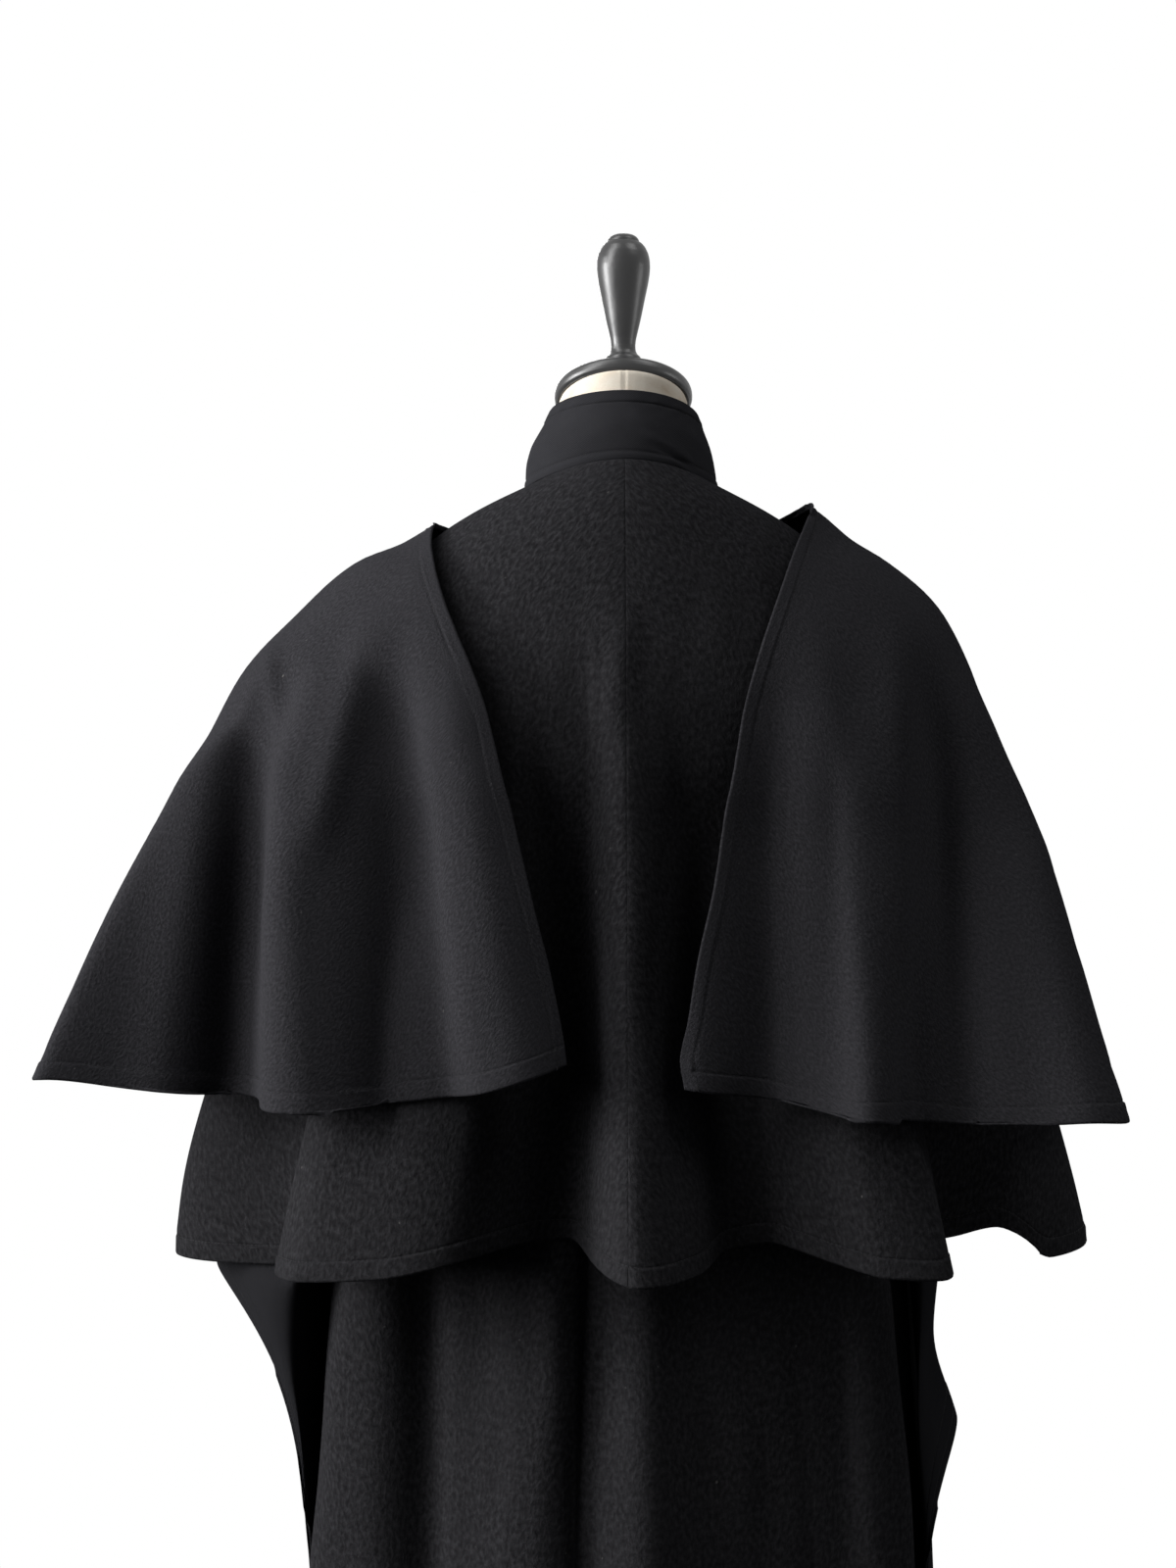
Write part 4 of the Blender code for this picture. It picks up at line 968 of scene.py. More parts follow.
def thread_material():
    m = Nodes("thread")
    place = m.add("TexCoord").outputs["Object"]
    strands = m.noise(m.scaled(place, (2600, 2600, 2600)), 2.0, 0.6)
    m.surface(m.ramp(strands, ((0.3, (0.010, 0.010, 0.011)), (0.7, (0.026, 0.026, 0.029)))), 0.6,
              m.bump(strands, 0.0002, 0.6), Specular_IOR_Level=0.1, Sheen_Weight=0.05)


def cream_cover():
    """Off-white cotton jersey stretched over the form, a little soiled in patches."""
    m = Nodes("cream_cover")
    cloth = m.cloth_map()
    rows = m.add("SeparateXYZ", {"Vector": m.scaled(cloth, (1, 1, 1))})
    wale = m.math("SINE", m.math("MULTIPLY", rows.outputs[0], 2 * math.pi / 0.0009))
    course = m.math("SINE", m.math("MULTIPLY", rows.outputs[1], 2 * math.pi / 0.0008))
    knit = m.level(m.math("MULTIPLY", wale, course), -1.0, 1.0)
    grime = m.noise(m.scaled(cloth, (34, 60, 1), (2, 5, 0)), 4.0, 0.6)
    yarn = m.noise(m.scaled(cloth, (900, 700, 1)), 2.0, 0.6)
    body = m.ramp(grime, ((0.25, (0.72, 0.59, 0.44)), (0.48, (0.89, 0.80, 0.67)), (0.75, (0.93, 0.87, 0.76))))
    tone = m.mix(m.level(yarn, 0.3, 0.7, 0.0, 0.22), body, (0.62, 0.51, 0.39, 1))
    low = m.bump(knit, 0.00016, 0.5)
    m.surface(tone, m.level(yarn, 0.3, 0.7, 0.8, 0.95), m.bump(yarn, 0.0002, 0.5, low), Specular_IOR_Level=0.25,
              Sheen_Weight=0.12)


def lacquer(name, colour, roughness):
    """Black lacquer over turned wood: fine turning rings, small dents and rubbed spots."""
    m = Nodes(name)
    place = m.add("TexCoord").outputs["Object"]
    rings = m.noise(m.scaled(place, (6, 6, 900)), 3.0, 0.6)
    dents = m.noise(m.scaled(place, (240, 240, 160)), 2.0, 0.5)
    rubbed = m.noise(m.scaled(place, (70, 70, 45), (3, 1, 8)), 4.0, 0.6)
    pits = m.add("TexVoronoi", {"Vector": place, "Scale": 130.0}).outputs["Distance"]
    pit = m.level(pits, 0.03, 0.075, 1.0, 0.0)
    worn = m.level(rubbed, 0.60, 0.78)
    tone = m.mix(m.math("MULTIPLY", worn, 0.35), (*colour, 1), (*tinted(colour, 3.2), 1))
    rough = m.math("ADD", m.level(rubbed, 0.3, 0.8, roughness - 0.05, roughness + 0.13), m.math("MULTIPLY", pit, 0.2))
    low = m.bump(rings, 0.00012, 0.35)
    dent = m.bump(dents, 0.0006, 0.22, low)
    m.surface(tone, rough, m.bump(m.math("SUBTRACT", 1.0, pit), 0.0004, 0.5, dent), Specular_IOR_Level=0.5,
              Coat_Weight=0.45, Coat_Roughness=0.30)


def painted_metal():
    m = Nodes("black_metal")
    place = m.add("TexCoord").outputs["Object"]
    orange_peel = m.noise(m.scaled(place, (420, 420, 420)), 2.0, 0.5)
    scuff = m.noise(m.scaled(place, (30, 30, 14)), 5.0, 0.65)
    tone = m.ramp(scuff, ((0.35, (0.014, 0.014, 0.015)), (0.62, (0.020, 0.020, 0.021)), (0.80, (0.050, 0.049, 0.047))))
    m.surface(tone, m.level(scuff, 0.3, 0.8, 0.34, 0.58), m.bump(orange_peel, 0.00018, 0.4), Specular_IOR_Level=0.5)


def horn():
    m = Nodes("button")
    place = m.add("TexCoord").outputs["Object"]
    grain = m.noise(m.scaled(place, (90, 90, 600)), 4.0, 0.6)
    tone = m.ramp(grain, ((0.30, (0.006, 0.006, 0.006)), (0.55, (0.016, 0.014, 0.013)), (0.78, (0.055, 0.043, 0.034))))
    m.surface(tone, m.level(grain, 0.3, 0.7, 0.16, 0.30), m.bump(grain, 0.00012, 0.3), Specular_IOR_Level=0.5)


wool("wool", WOOL_COLOUR, 1.5, 1.4, 290, 190)
wool("wool_smooth", MELTON_COLOUR, 1.0, 1.0, 420, 320)
twill("twill", TWILL_COLOUR, 0.0013, 0.0004)
# The sleeves' twill is the collar's cloth painted 0.68 times darker: painted shade from the cape hanging over them.
twill("twill_sleeve_painted_shade", tinted(TWILL_COLOUR, 0.68), 0.0013, 0.0004)
thread_material()
cream_cover()
lacquer("black_cap", (0.020, 0.020, 0.0205), 0.36)
lacquer("black_finial", (0.015, 0.015, 0.0155), 0.38)
painted_metal()
horn()

# ---------------------------------------------------------------- pieces


def finish_piece(obj, node):
    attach(obj, "root")
    if node:
        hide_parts(node)
    return obj


def declare(node, obj, lines, *stitch_sizes):
    """Sews a piece's stitch lines."""
    sewn = finish_piece(stitches("stitches_" + node, lines, *stitch_sizes), None)


def cloth_maps(points, ring=False):
    """u and v in metres: u across from the middle column so that the weave hangs straight, v down."""
    across, down = run_of(points, 1), run_of(points, 0)
    if ring:
        around = across[:, -1:] + np.linalg.norm(points[:, 0] - points[:, -1], axis=-1)[:, None]
        return across / around * around.mean(), down
    middle = across.shape[1] // 2
    return across - across[:, middle:middle + 1], down


def rising(angle, level):
    """A grid's columns put in order of rising angle."""
    if angle[-1, -1] < angle[-1, 0]:
        return angle[:, ::-1], level[:, ::-1]
    return angle, level


def build_panel(name, layer, grid, kind, hem_edge, sides, relief, sewn, material="wool"):
    """Builds a flat-cut piece of a layer: spaces its grid, adds its edges' relief, makes the shell, sews it.

    sides are the stations at its first and last edge, and sewn the (edge, distance in from it) of its stitch lines.
    """
    surface = on_layer(layer)
    count = COUNTS[kind]
    angle, level = rising(*grid)
    angle, level = respace(surface, angle, level, 0, PLAIN_EDGE, hem_edge, count[0])
    angle, level = respace(surface, angle, level, 1, *sides, count[1])
    points = surface(angle, level)
    down, across = run_of(points, 0), run_of(points, 1)
    away = {"top": down, "hem": down[-1:] - down, "first": across, "last": across[:, -1:] - across}
    normal = grid_normals(points)
    lift, thick = relief(**away)
    folds = back_folds(BACK_FOLDS.get(kind, ()), points, normal)
    if kind == "wing":
        under = wing_cloth(angle, level) - cape_cloth(angle, level) - WOOL - 2 * LAYER_GAP
        folds = np.maximum(folds, -0.8 * np.maximum(under, 0))
    points = points + normal * (lift + folds)[..., None]
    obj = finish_piece(shell(name + "_cloth", points, WOOL + thick, material, *cloth_maps(points)), name)
    normals = grid_normals(points)
    declare(name, obj, [line_at(points, normals, away[edge], width, 0 if edge == "hem" else 1)
                        for edge, width in sewn])


HEM_BAND = 0.0155  # from a wing's or the cape's hem to its stitch line
EDGE_BAND = 0.0110  # from a wing's side edge to its stitch line
HEM_RISE = 0.0007  # how far a turned hem stands up
TURNED = 0.0011  # how much thicker a turned hem or edge is
SEAM_DIP = 0.0001  # how far the cloth dips at a seam
SEAM_THIN, SEAM_TURN = 0.45, 0.0015  # how much of its thickness the cloth loses at a seam, and over what distance


def seam_dip(away, width=0.0035):
    return -SEAM_DIP * np.exp(-((away / width) ** 2))


def seam_thin(away):
    """How much thinner the cloth is drawn where it turns in at a seam."""
    return -SEAM_THIN * WOOL * (1 - smooth(away / SEAM_TURN))


def turned_side(lift, hem, away, width, rise):
    """Adds a side's turned band and its groove, which the hem's own band runs over."""
    side = band(away, width, rise) + groove(away, width, 0.0005)
    return np.maximum(lift, side) * (hem < HEM_BAND) + (lift + side) * (hem >= HEM_BAND)


def wing_relief(seed):
    def relief(top, hem, first, last):
        lift = band(hem, HEM_BAND, HEM_RISE) + groove(hem, HEM_BAND, 0.0008) + puckers(first, hem, HEM_BAND, seed)
        for away in (first, last):
            lift = turned_side(lift, hem, away, EDGE_BAND, HEM_RISE * 0.7)
            lift = lift + puckers(top, away, EDGE_BAND, seed + 1)
        edges = np.maximum(band(first, EDGE_BAND, 0.6), band(last, EDGE_BAND, 0.6))
        return lift, TURNED * np.maximum(band(hem, HEM_BAND, 1), edges)
    return relief


def build_wings():
    for side, edges, hem, seed in (("left", WING_LEFT_EDGES, WING_LEFT_HEM, 10),
                                   ("right", WING_RIGHT_EDGES, WING_RIGHT_HEM, 20)):
        build_panel("wing_" + side, wing_cloth, wing_grid(wing_cloth, edges, hem, (90, 200)), "wing", HEM_EDGE,
                    (FINE_EDGE, FINE_EDGE), wing_relief(seed),
                    (("hem", HEM_BAND), ("first", EDGE_BAND), ("last", EDGE_BAND)), "wool_smooth")


def cape_relief(seed, front):
    """front names the panel's free edge, if it has one."""
    def relief(top, hem, first, last):
        lift = band(hem, HEM_BAND, HEM_RISE) + groove(hem, HEM_BAND, 0.0009) + puckers(first, hem, HEM_BAND, seed)
        doubled, thin = band(hem, HEM_BAND, 1), 0
        for label, away in (("first", first), ("last", last)):
            if label == front:
                lift = turned_side(lift, hem, away, HEM_BAND, HEM_RISE * 0.6)
                doubled = np.maximum(doubled, band(away, HEM_BAND, 1))
            else:
                lift, thin = lift + seam_dip(away), thin + seam_thin(away)
        return lift, TURNED * doubled * (1 + thin / WOOL) + thin
    return relief


CAPE_PANELS = (
    ("cape_back_left", 0, 90, None, 30), ("cape_back_right", 90, 180, None, 31),
    ("cape_front_right", 180, 252, "last", 32), ("cape_front_left", 288, 360, "first", 33),
)


def free_sides(free, worked):
    """The stations at a panel's first and last edge: worked at its free edge, plain at a seam."""
    return tuple(worked if free == label else PLAIN_EDGE for label in ("first", "last"))


def build_cape():
    for name, first, last, free, seed in CAPE_PANELS:
        grid = strip(cape_cloth, first, last, neck_level, cape_hem, (90, 160))
        sewn = (("hem", HEM_BAND),) + (((free, HEM_BAND),) if free else ())
        build_panel(name, cape_cloth, grid, "cape_back" if "back" in name else "cape_front", HEM_EDGE,
                    free_sides(free, HEM_EDGE), cape_relief(seed, free), sewn)


COAT_HEM_BAND = 0.036
COAT_TURNED = 0.0007  # how much thicker the coat's turned hem is
COAT_HEM_EDGE = (2.5, 6, 12, 20, 28, 33, 35.2, 36, 36.8, 39, 44, 52)
FRONT_BAND = 0.009


def coat_relief(seed, front):
    def relief(top, hem, first, last):
        lift = band(hem, COAT_HEM_BAND, HEM_RISE * 0.7) + groove(hem, COAT_HEM_BAND, 0.0004)
        lift = lift + puckers(first, hem, COAT_HEM_BAND, seed, 0.00016)
        doubled, thin = band(hem, COAT_HEM_BAND, 1), 0
        for label, away in (("first", first), ("last", last)):
            if label == front:
                lift = lift + groove(away, FRONT_BAND, 0.0005) + band(away, FRONT_BAND, 0.0003)
                lift = lift + puckers(top, away, FRONT_BAND, seed + 1, 0.00016)
                doubled = np.maximum(doubled, band(away, 0.06, 0.6))
            else:
                lift, thin = lift + seam_dip(away), thin + seam_thin(away)
        return lift, COAT_TURNED * doubled * (1 + thin / WOOL) + thin
    return relief


def coat_grid(layer, seam_angle, side_angle, grid):
    """Angles and levels of a coat panel from its centre edge to the side seam, its armhole cut out."""
    down, across = np.meshgrid(shares(grid[0]), shares(grid[1]), indexing="ij")
    top_levels = neck_level(seam_angle + (side_angle - seam_angle) * across)
    level = top_levels + (CENTRE_Z - COAT_HEM_Z - top_levels) * down ** 1.4
    if seam_angle == 90:
        keys, leans = [level_of(*row[:2]) for row in COAT_SEAM], [row[2] for row in COAT_SEAM]
        seam_angle = follow(keys, leans, level)
    side = side_angle + np.sign(seam_angle - side_angle) * armhole_edge(level, 21)
    toward = np.sign(side_angle - seam_angle)
    first = seam_angle + toward * seam_inset(layer, seam_angle, level)
    last = side - toward * seam_inset(layer, side_angle, level)
    return first + (last - first) * across, level


COAT_PANELS = (
    ("coat_back_left", coat_cloth, 90, 0, None, 40), ("coat_back_right", coat_cloth, 90, 180, None, 42),
    ("coat_front_left", coat_cloth, 262, 360, "first", 44),
    ("coat_front_right", coat_right_front_cloth, 278, 180, "last", 46),
)


def build_coat():
    for name, layer, seam, side, free, seed in COAT_PANELS:
        sewn = (("hem", COAT_HEM_BAND),) + (((free, FRONT_BAND),) if free else ())
        build_panel(name, layer, coat_grid(layer, seam, side, (110, 140)),
                    "coat_back" if "back" in name else "coat_front", COAT_HEM_EDGE,
                    free_sides(free, FINE_EDGE), coat_relief(seed, free), sewn)


FINE_STITCH = (0.0030, 0.0022, 0.00022)  # pitch, length and thickness of the stitches on twill
CUFF_BANDS = (0.0120, 0.0300)
CUFF_EDGE = (2, 5, 8.5, 10.6, 11.4, 12, 12.6, 13.4, 16, 21, 26, 28.6, 29.4, 30, 30.6, 31.4, 34, 40)
SLEEVE_CREASES = ((0.16, 0.30, 0.0022), (0.34, 0.62, 0.0018), (0.60, 0.80, 0.0016), (0.78, 0.15, 0.0014))


def build_sleeves():
    for name, rows, middle, side in (("left", SLEEVE_LEFT, 0, 1), ("right", SLEEVE_RIGHT, 180, -1)):
        surface = sleeve_surface(rows, middle, side)
        count = COUNTS["sleeve"]
        fine = 100
        along, around = np.meshgrid(shares(fine), np.arange(count[1]) / count[1], indexing="ij")
        if side > 0:
            around = around[:, ::-1]
        around, along = respace(surface, around, along, 0, PLAIN_EDGE, CUFF_EDGE, count[0])
        points = surface(around, along)
        down = run_of(points, 0)
        hem = down[-1:] - down
        normal = grid_normals(points, True)
        lift = groove(hem, CUFF_BANDS[0], 0.0005) + groove(hem, CUFF_BANDS[1], 0.0004)
        lift = lift + band(hem, CUFF_BANDS[1], 0.0004)
        for start, where, height in SLEEVE_CREASES:
            lean = where + 0.25 * (along - start)
            away = (np.mod(around - lean + 0.5, 1) - 0.5) / 0.035
            rise = height * np.exp(-away ** 2) * smooth((along - start) / 0.15)
            lift = lift + rise * smooth((1 - along) / 0.3)
        points = points + normal * lift[..., None]
        u, v = cloth_maps(points, True)
        thick = TWILL + 0.0006 * band(hem, CUFF_BANDS[1], 1)
        # The sleeves take the darker twill copy, whose colour carries painted shade.
        obj = shell(f"sleeve_{name}_cloth", points, thick, "twill_sleeve_painted_shade", u, v, ring=True)
        finish_piece(obj, "sleeve_" + name)
        normals = grid_normals(points, True)
        lines = []
        for wanted in CUFF_BANDS:
            line, facing = line_at(points, normals, hem, wanted, 0)
            lines.append((np.concatenate([line, line[:1]]), np.concatenate([facing, facing[:1]])))
        declare("sleeve_" + name, obj, lines, *FINE_STITCH)


COLLAR_STITCH = 0.0110  # from the collar's top edge to its stitch line
COLLAR_RIB = 0.0080  # height of the narrow rib at its foot
COLLAR_TOP_EDGE = (1.8, 4, 7, 9.3, 10.2, 10.7, 11, 11.3, 11.8, 12.7, 15, 19)
COLLAR_FOOT_EDGE = (1.6, 3.5, 5.5, 7.0, 7.7, 8.3, 9.0, 10.5, 14)
# Drag folds of the collar: angle and height (share) where each starts and ends, half width and rise in mm.
COLLAR_FOLDS = ((98, 0.62, 128, 0.22, 5.0, 0.9), (60, 0.30, 84, 0.45, 6.0, 0.5), (140, 0.50, 165, 0.30, 5.0, 0.7),
                (20, 0.60, 44, 0.35, 6.0, 0.6), (205, 0.40, 232, 0.55, 6.0, 0.6), (300, 0.35, 330, 0.50, 6.0, 0.6))


THROAT_ARC, THROAT_DROP = 16, 0.0045  # the foot dips at the front, degrees either way and metres
FOOT_DROP = 0.0013  # and meets the neck seam all round
FOOT_THIN, FOOT_TURN = 0.35, 0.004  # how much of its thickness it loses there, and over what height
COLLAR_RIB_RISE = 0.0009
COLLAR_HEIGHT = 52  # mm, about
COLLAR_REACH = 0.08  # about the collar's radius, for the gap between its ends


def build_collar():
    inset = math.degrees(2 * SEAM / COLLAR_REACH)
    share, angle = np.meshgrid(shares(60)[::-1], np.linspace(-90 + inset, 270 - inset, 240), indexing="ij")
    count = COUNTS["collar"]
    angle, share = respace(collar_surface, angle, share, 0, COLLAR_TOP_EDGE, COLLAR_FOOT_EDGE, count[0])
    angle, share = respace(collar_surface, angle, share, 1, FINE_EDGE[:6], FINE_EDGE[:6], count[1])
    points = collar_surface(angle, share)
    throat = np.exp(-(((np.mod(angle + 270, 360) - 180) / THROAT_ARC) ** 2))
    throat = throat * (1 - smooth((share - 0.02) / 0.4))
    points[..., 2] -= THROAT_DROP * throat + FOOT_DROP * (1 - smooth(share / 0.25))
    down, across = run_of(points, 0), run_of(points, 1)
    foot = down[-1:] - down
    normal = grid_normals(points)
    lift = groove(down, COLLAR_STITCH, 0.0009) + band(down, COLLAR_STITCH, 0.0005)
    lift = lift + puckers(across, down, COLLAR_STITCH, 61, 0.00018)
    lift = lift + COLLAR_RIB_RISE * np.exp(-(((foot - COLLAR_RIB * 0.5) / (COLLAR_RIB * 0.34)) ** 2))
    lift = lift + groove(foot, COLLAR_RIB, 0.0007)
    lift = lift + back_folds(BACK_FOLDS["collar"], points, normal)
    for a0, s0, a1, s1, width, rise in COLLAR_FOLDS:
        way = np.clip((angle - a0) / (a1 - a0), 0, 1)
        away = (share - (s0 + (s1 - s0) * way)) * COLLAR_HEIGHT
        fade = smooth((angle - a0 + 10) / 14) * smooth((a1 + 10 - angle) / 14)
        lift = lift + rise / 1000 * np.exp(-((away / width) ** 2)) * fade
    points = points + normal * lift[..., None]
    u, v = cloth_maps(points)
    thick = COLLAR_THICK * (1 - FOOT_THIN * (1 - smooth(foot / FOOT_TURN)))
    obj = shell("collar_cloth", points, thick, "twill", u, v)
    finish_piece(obj, "collar")
    normals = grid_normals(points)
    lines = [line_at(points, normals, down, COLLAR_STITCH, 0), line_at(points, normals, foot, COLLAR_RIB, 0)]
    declare("collar", obj, lines, *FINE_STITCH)


# ---------------------------------------------------------------- dress form

TURNED_SIDES = 96
PROFILE_FINE = 6  # points drawn for each step of a turned profile


def fine_profile(profile, fine=PROFILE_FINE):
    """A smooth line through a turned profile's corners, close to it, its sharp corners softened."""
    knots = np.array(profile, float)
    made = []
    for k in range(len(knots) - 1):
        before, one = knots[max(k - 1, 0)], knots[k]
        two, after = knots[k + 1], knots[min(k + 2, len(knots) - 1)]
        for share in np.arange(fine) / fine:
            made.append(0.5 * (2 * one + (two - before) * share * 0.6
                               + (3 * (two - one) - 0.3 * (2 * (two - before) + (after - one))) * 2 * share ** 2
                               + (-2 * (two - one) + 0.3 * ((two - before) + (after - one))) * 2 * share ** 3))
    made.append(knots[-1])
    made = np.array(made)
    made[:, 0] = np.maximum(made[:, 0], 0)
    return made


def lathe(name, profile, slot, tilt=0.0, centre=(0, 0, 0), sides=TURNED_SIDES, height_map=None):
    """A turned solid from (radius, height) pairs that start and end on the axis."""
    profile = np.asarray(profile, float)
    angles = 2 * math.pi * np.arange(sides) / sides
    rows = profile[1:-1]
    ring = np.stack([np.cos(angles), np.sin(angles)], -1)
    points = np.concatenate([np.concatenate([ring * r, np.full((sides, 1), h)], 1) for r, h in rows])
    points = np.concatenate([points, [[0, 0, profile[0][1]], [0, 0, profile[-1][1]]]])
    if height_map is not None:
        points[:, 2] += height_map(points[:, 0], points[:, 1], points[:, 2])
    faces = []
    for i in range(len(rows) - 1):
        for j in range(sides):
            a, b = i * sides + j, i * sides + (j + 1) % sides
            faces.append((a, b, b + sides, a + sides))
    low, high, last = len(points) - 2, len(points) - 1, (len(rows) - 1) * sides
    faces += [(low, (j + 1) % sides, j) for j in range(sides)]
    faces += [(high, last + j, last + (j + 1) % sides) for j in range(sides)]
    lean = math.radians(tilt)
    x, y, z = points.T
    points = np.stack([x, y * math.cos(lean) - z * math.sin(lean), y * math.sin(lean) + z * math.cos(lean)], -1)
    return make_object(name, points + np.asarray(centre, float), faces, None, None, slot)


CAP_PROFILE = (
    (0, 0), (0.0530, 0.0), (0.0562, 0.0005), (0.0582, 0.0022), (0.0590, 0.0048), (0.0590, 0.0080),
    (0.0583, 0.0104), (0.0566, 0.0122), (0.0545, 0.0129), (0.0480, 0.0130), (0, 0.0130),
)
FINIAL_PROFILE = (
    (0, 0.0032), (0.0100, 0.0032), (0.0103, 0.0075), (0.0110, 0.0120), (0.0138, 0.0148), (0.0158, 0.0180),
    (0.0160, 0.0205), (0.0148, 0.0243), (0.0122, 0.0270), (0.0108, 0.0300), (0.0105, 0.0345), (0.0110, 0.0395),
    (0.0120, 0.0440), (0.0150, 0.0567), (0.0190, 0.0760), (0.0212, 0.0865), (0.0225, 0.0945), (0.0230, 0.1010),
    (0.0227, 0.1070), (0.0215, 0.1125), (0.0192, 0.1175), (0.0165, 0.1208), (0.0148, 0.1220), (0.0139, 0.1226),
    (0.0137, 0.1236), (0.0132, 0.1248), (0.0118, 0.1266), (0.0092, 0.1282), (0.0050, 0.1291), (0, 0.1293),
)


def build_form():
    """The form: its body under the coat, with a cream cover seamed at the back, and its turned parts."""
    sides, rows = 168, 120
    angles = np.arange(sides) * 360 / sides
    tables = [level_of(elevation, 0) for elevation in (74, 66, 57, 50, 42, 32, 20, 8)]
    tables += [0.03, 0.08, 0.12, 0.16, 0.20, 0.25, 0.31, CENTRE_Z - FORM_BOTTOM_Z]
    levels = np.interp(np.linspace(0, 1, rows), np.linspace(0, 1, len(tables)), tables)
    grid = [place(angles, np.full(sides, v), ring_radius(FORM_RINGS, angles, v)) for v in levels]
    round_x, round_y = np.cos(np.radians(angles)), np.sin(np.radians(angles))
    slope = math.tan(math.radians(CAP_TILT))
    neck = ((0.0585, 1.412, 0.0), (0.0562, 1.420, 0.15), (NECK_RADIUS, NECK_Z, 0.3))
    neck += tuple((NECK_RADIUS + rise, NECK_Z + (CAP_Z - SEAM - NECK_Z) * way, 0.3 + 0.7 * way)
                  for way, rise in ((0.08, 0), (0.2, 0.0001), (0.35, 0.0002), (0.5, 0.0002), (0.65, 0.0002),
                                    (0.78, 0.0003), (0.88, 0.0005), (0.94, 0.0003), (0.98, -0.0003), (1.0, -0.0012)))
    seam = np.exp(-(((angles - 90) / 0.9) ** 2)) + 0.55 * np.exp(-(((angles - 104) / 0.8) ** 2))
    welt = np.exp(-((np.abs(angles - 90) - 3.0) / 1.3) ** 2)
    for radius, height, lean in neck:
        tilt = lean * slope * radius * round_y
        reach = radius - 0.0007 * seam + 0.0003 * welt
        grid.insert(0, np.stack([reach * round_x, reach * round_y, height + tilt], -1))
    grid = np.array(grid)
    count = len(grid)
    points = np.concatenate([grid.reshape(-1, 3), [[0, 0, grid[0][:, 2].mean()], [0, 0, FORM_BOTTOM_Z]]])
    at = np.arange(count * sides).reshape(count, sides)
    after = np.roll(at, -1, axis=1)
    faces = np.stack([at[:-1], at[1:], after[1:], after[:-1]], -1).reshape(-1, 4).tolist()
    faces += [(count * sides, int(at[0, j]), int(after[0, j])) for j in range(sides)]
    faces += [(count * sides + 1, int(after[-1, j]), int(at[-1, j])) for j in range(sides)]
    around = run_of(grid, 1)
    around = np.concatenate([around, around[:, -1:] + around[:, 1:2]], 1)
    down = run_of(grid, 0)
    down = np.concatenate([down, down[:, :1]], 1)
    uv = np.stack([around, down], -1)
    quads = np.stack([uv[:-1, :-1], uv[1:, :-1], uv[1:, 1:], uv[:-1, 1:]], 2).reshape(-1, 2)
    caps = np.zeros((2 * sides * 3, 2))
    obj = make_object("form_torso_cover", points, faces, np.concatenate([quads, caps]), None, "cream_cover")
    finish_piece(obj, "form_torso")

    cap = lathe("form_cap_lacquered", fine_profile(CAP_PROFILE), "black_cap", CAP_TILT, (0, 0, CAP_Z))
    finish_piece(cap, "form_cap")
    finial = lathe("form_finial_turned", fine_profile(FINIAL_PROFILE), "black_finial", 0, (0, 0, FINIAL_Z))
    finish_piece(finial, "form_finial")
    foot, top = BASE_THICK + SEAM, FORM_BOTTOM_Z - SEAM
    collar = POLE_RADIUS + 0.008
    pole = ((0, foot), (collar, foot), (collar, foot + 0.020), (collar - 0.003, foot + 0.024),
            (POLE_RADIUS, foot + 0.026), (POLE_RADIUS, 0.40), (POLE_RADIUS, top - 0.001),
            (POLE_RADIUS - 0.001, top), (0, top))
    finish_piece(lathe("form_pole_tube", pole, "black_metal"), "form_pole")
    base = ((0, 0), (BASE_RADIUS - 0.0040, 0), (BASE_RADIUS - 0.0012, 0.0012), (BASE_RADIUS, 0.0040),
            (BASE_RADIUS, 0.0140), (BASE_RADIUS - 0.0010, 0.0172), (BASE_RADIUS - 0.0032, 0.0192),
            (BASE_RADIUS - 0.0060, BASE_THICK), (BASE_RADIUS * 0.5, BASE_THICK), (0, BASE_THICK))
    finish_piece(lathe("form_base_cast", base, "black_metal", sides=144), "form_base")


# ---------------------------------------------------------------- buttons

HOLE_RADIUS, HOLE_DEEP = 0.0011, 0.0012
HOLE_STEP = 0.0024 / math.sqrt(2) * 1.1  # across and up from a button's centre to a hole
FACE = 0.0030  # height of a button's sunk face
BUTTONHOLE_LENGTH, BUTTONHOLE_WIDTH, CORD = 0.028, 0.0026, 0.00075


def holes(x, y, z):
    """Four sunk holes in a button's face."""
    total = np.zeros(len(x))
    for a, b in ((1, 1), (1, -1), (-1, 1), (-1, -1)):
        away = np.hypot(x - a * HOLE_STEP, y - b * HOLE_STEP)
        total -= HOLE_DEEP * (1 - smooth((away - HOLE_RADIUS * 0.75) / (HOLE_RADIUS * 0.5)))
    return total * (z > BUTTON_THICK * 0.5)


def tube(line, radius, sides=8):
    """Points and faces of a closed round cord along a closed line."""
    ahead = np.roll(line, -1, axis=0) - np.roll(line, 1, axis=0)
    ahead /= np.linalg.norm(ahead, axis=1, keepdims=True)
    up = np.cross(ahead, np.roll(ahead, -3, axis=0) - ahead)
    axis = up.sum(0)
    axis /= np.linalg.norm(axis)
    side = np.cross(ahead, axis)
    turn = 2 * math.pi * np.arange(sides) / sides
    out = np.cos(turn)[None, :, None] * axis + np.sin(turn)[None, :, None] * side[:, None]
    points = line[:, None] + radius * out
    count = len(line)
    at = np.arange(count * sides).reshape(count, sides)
    faces = np.stack([at, np.roll(at, -1, 0), np.roll(np.roll(at, -1, 0), -1, 1), np.roll(at, -1, 1)], -1)
    return points.reshape(-1, 3), faces.reshape(-1, 4)


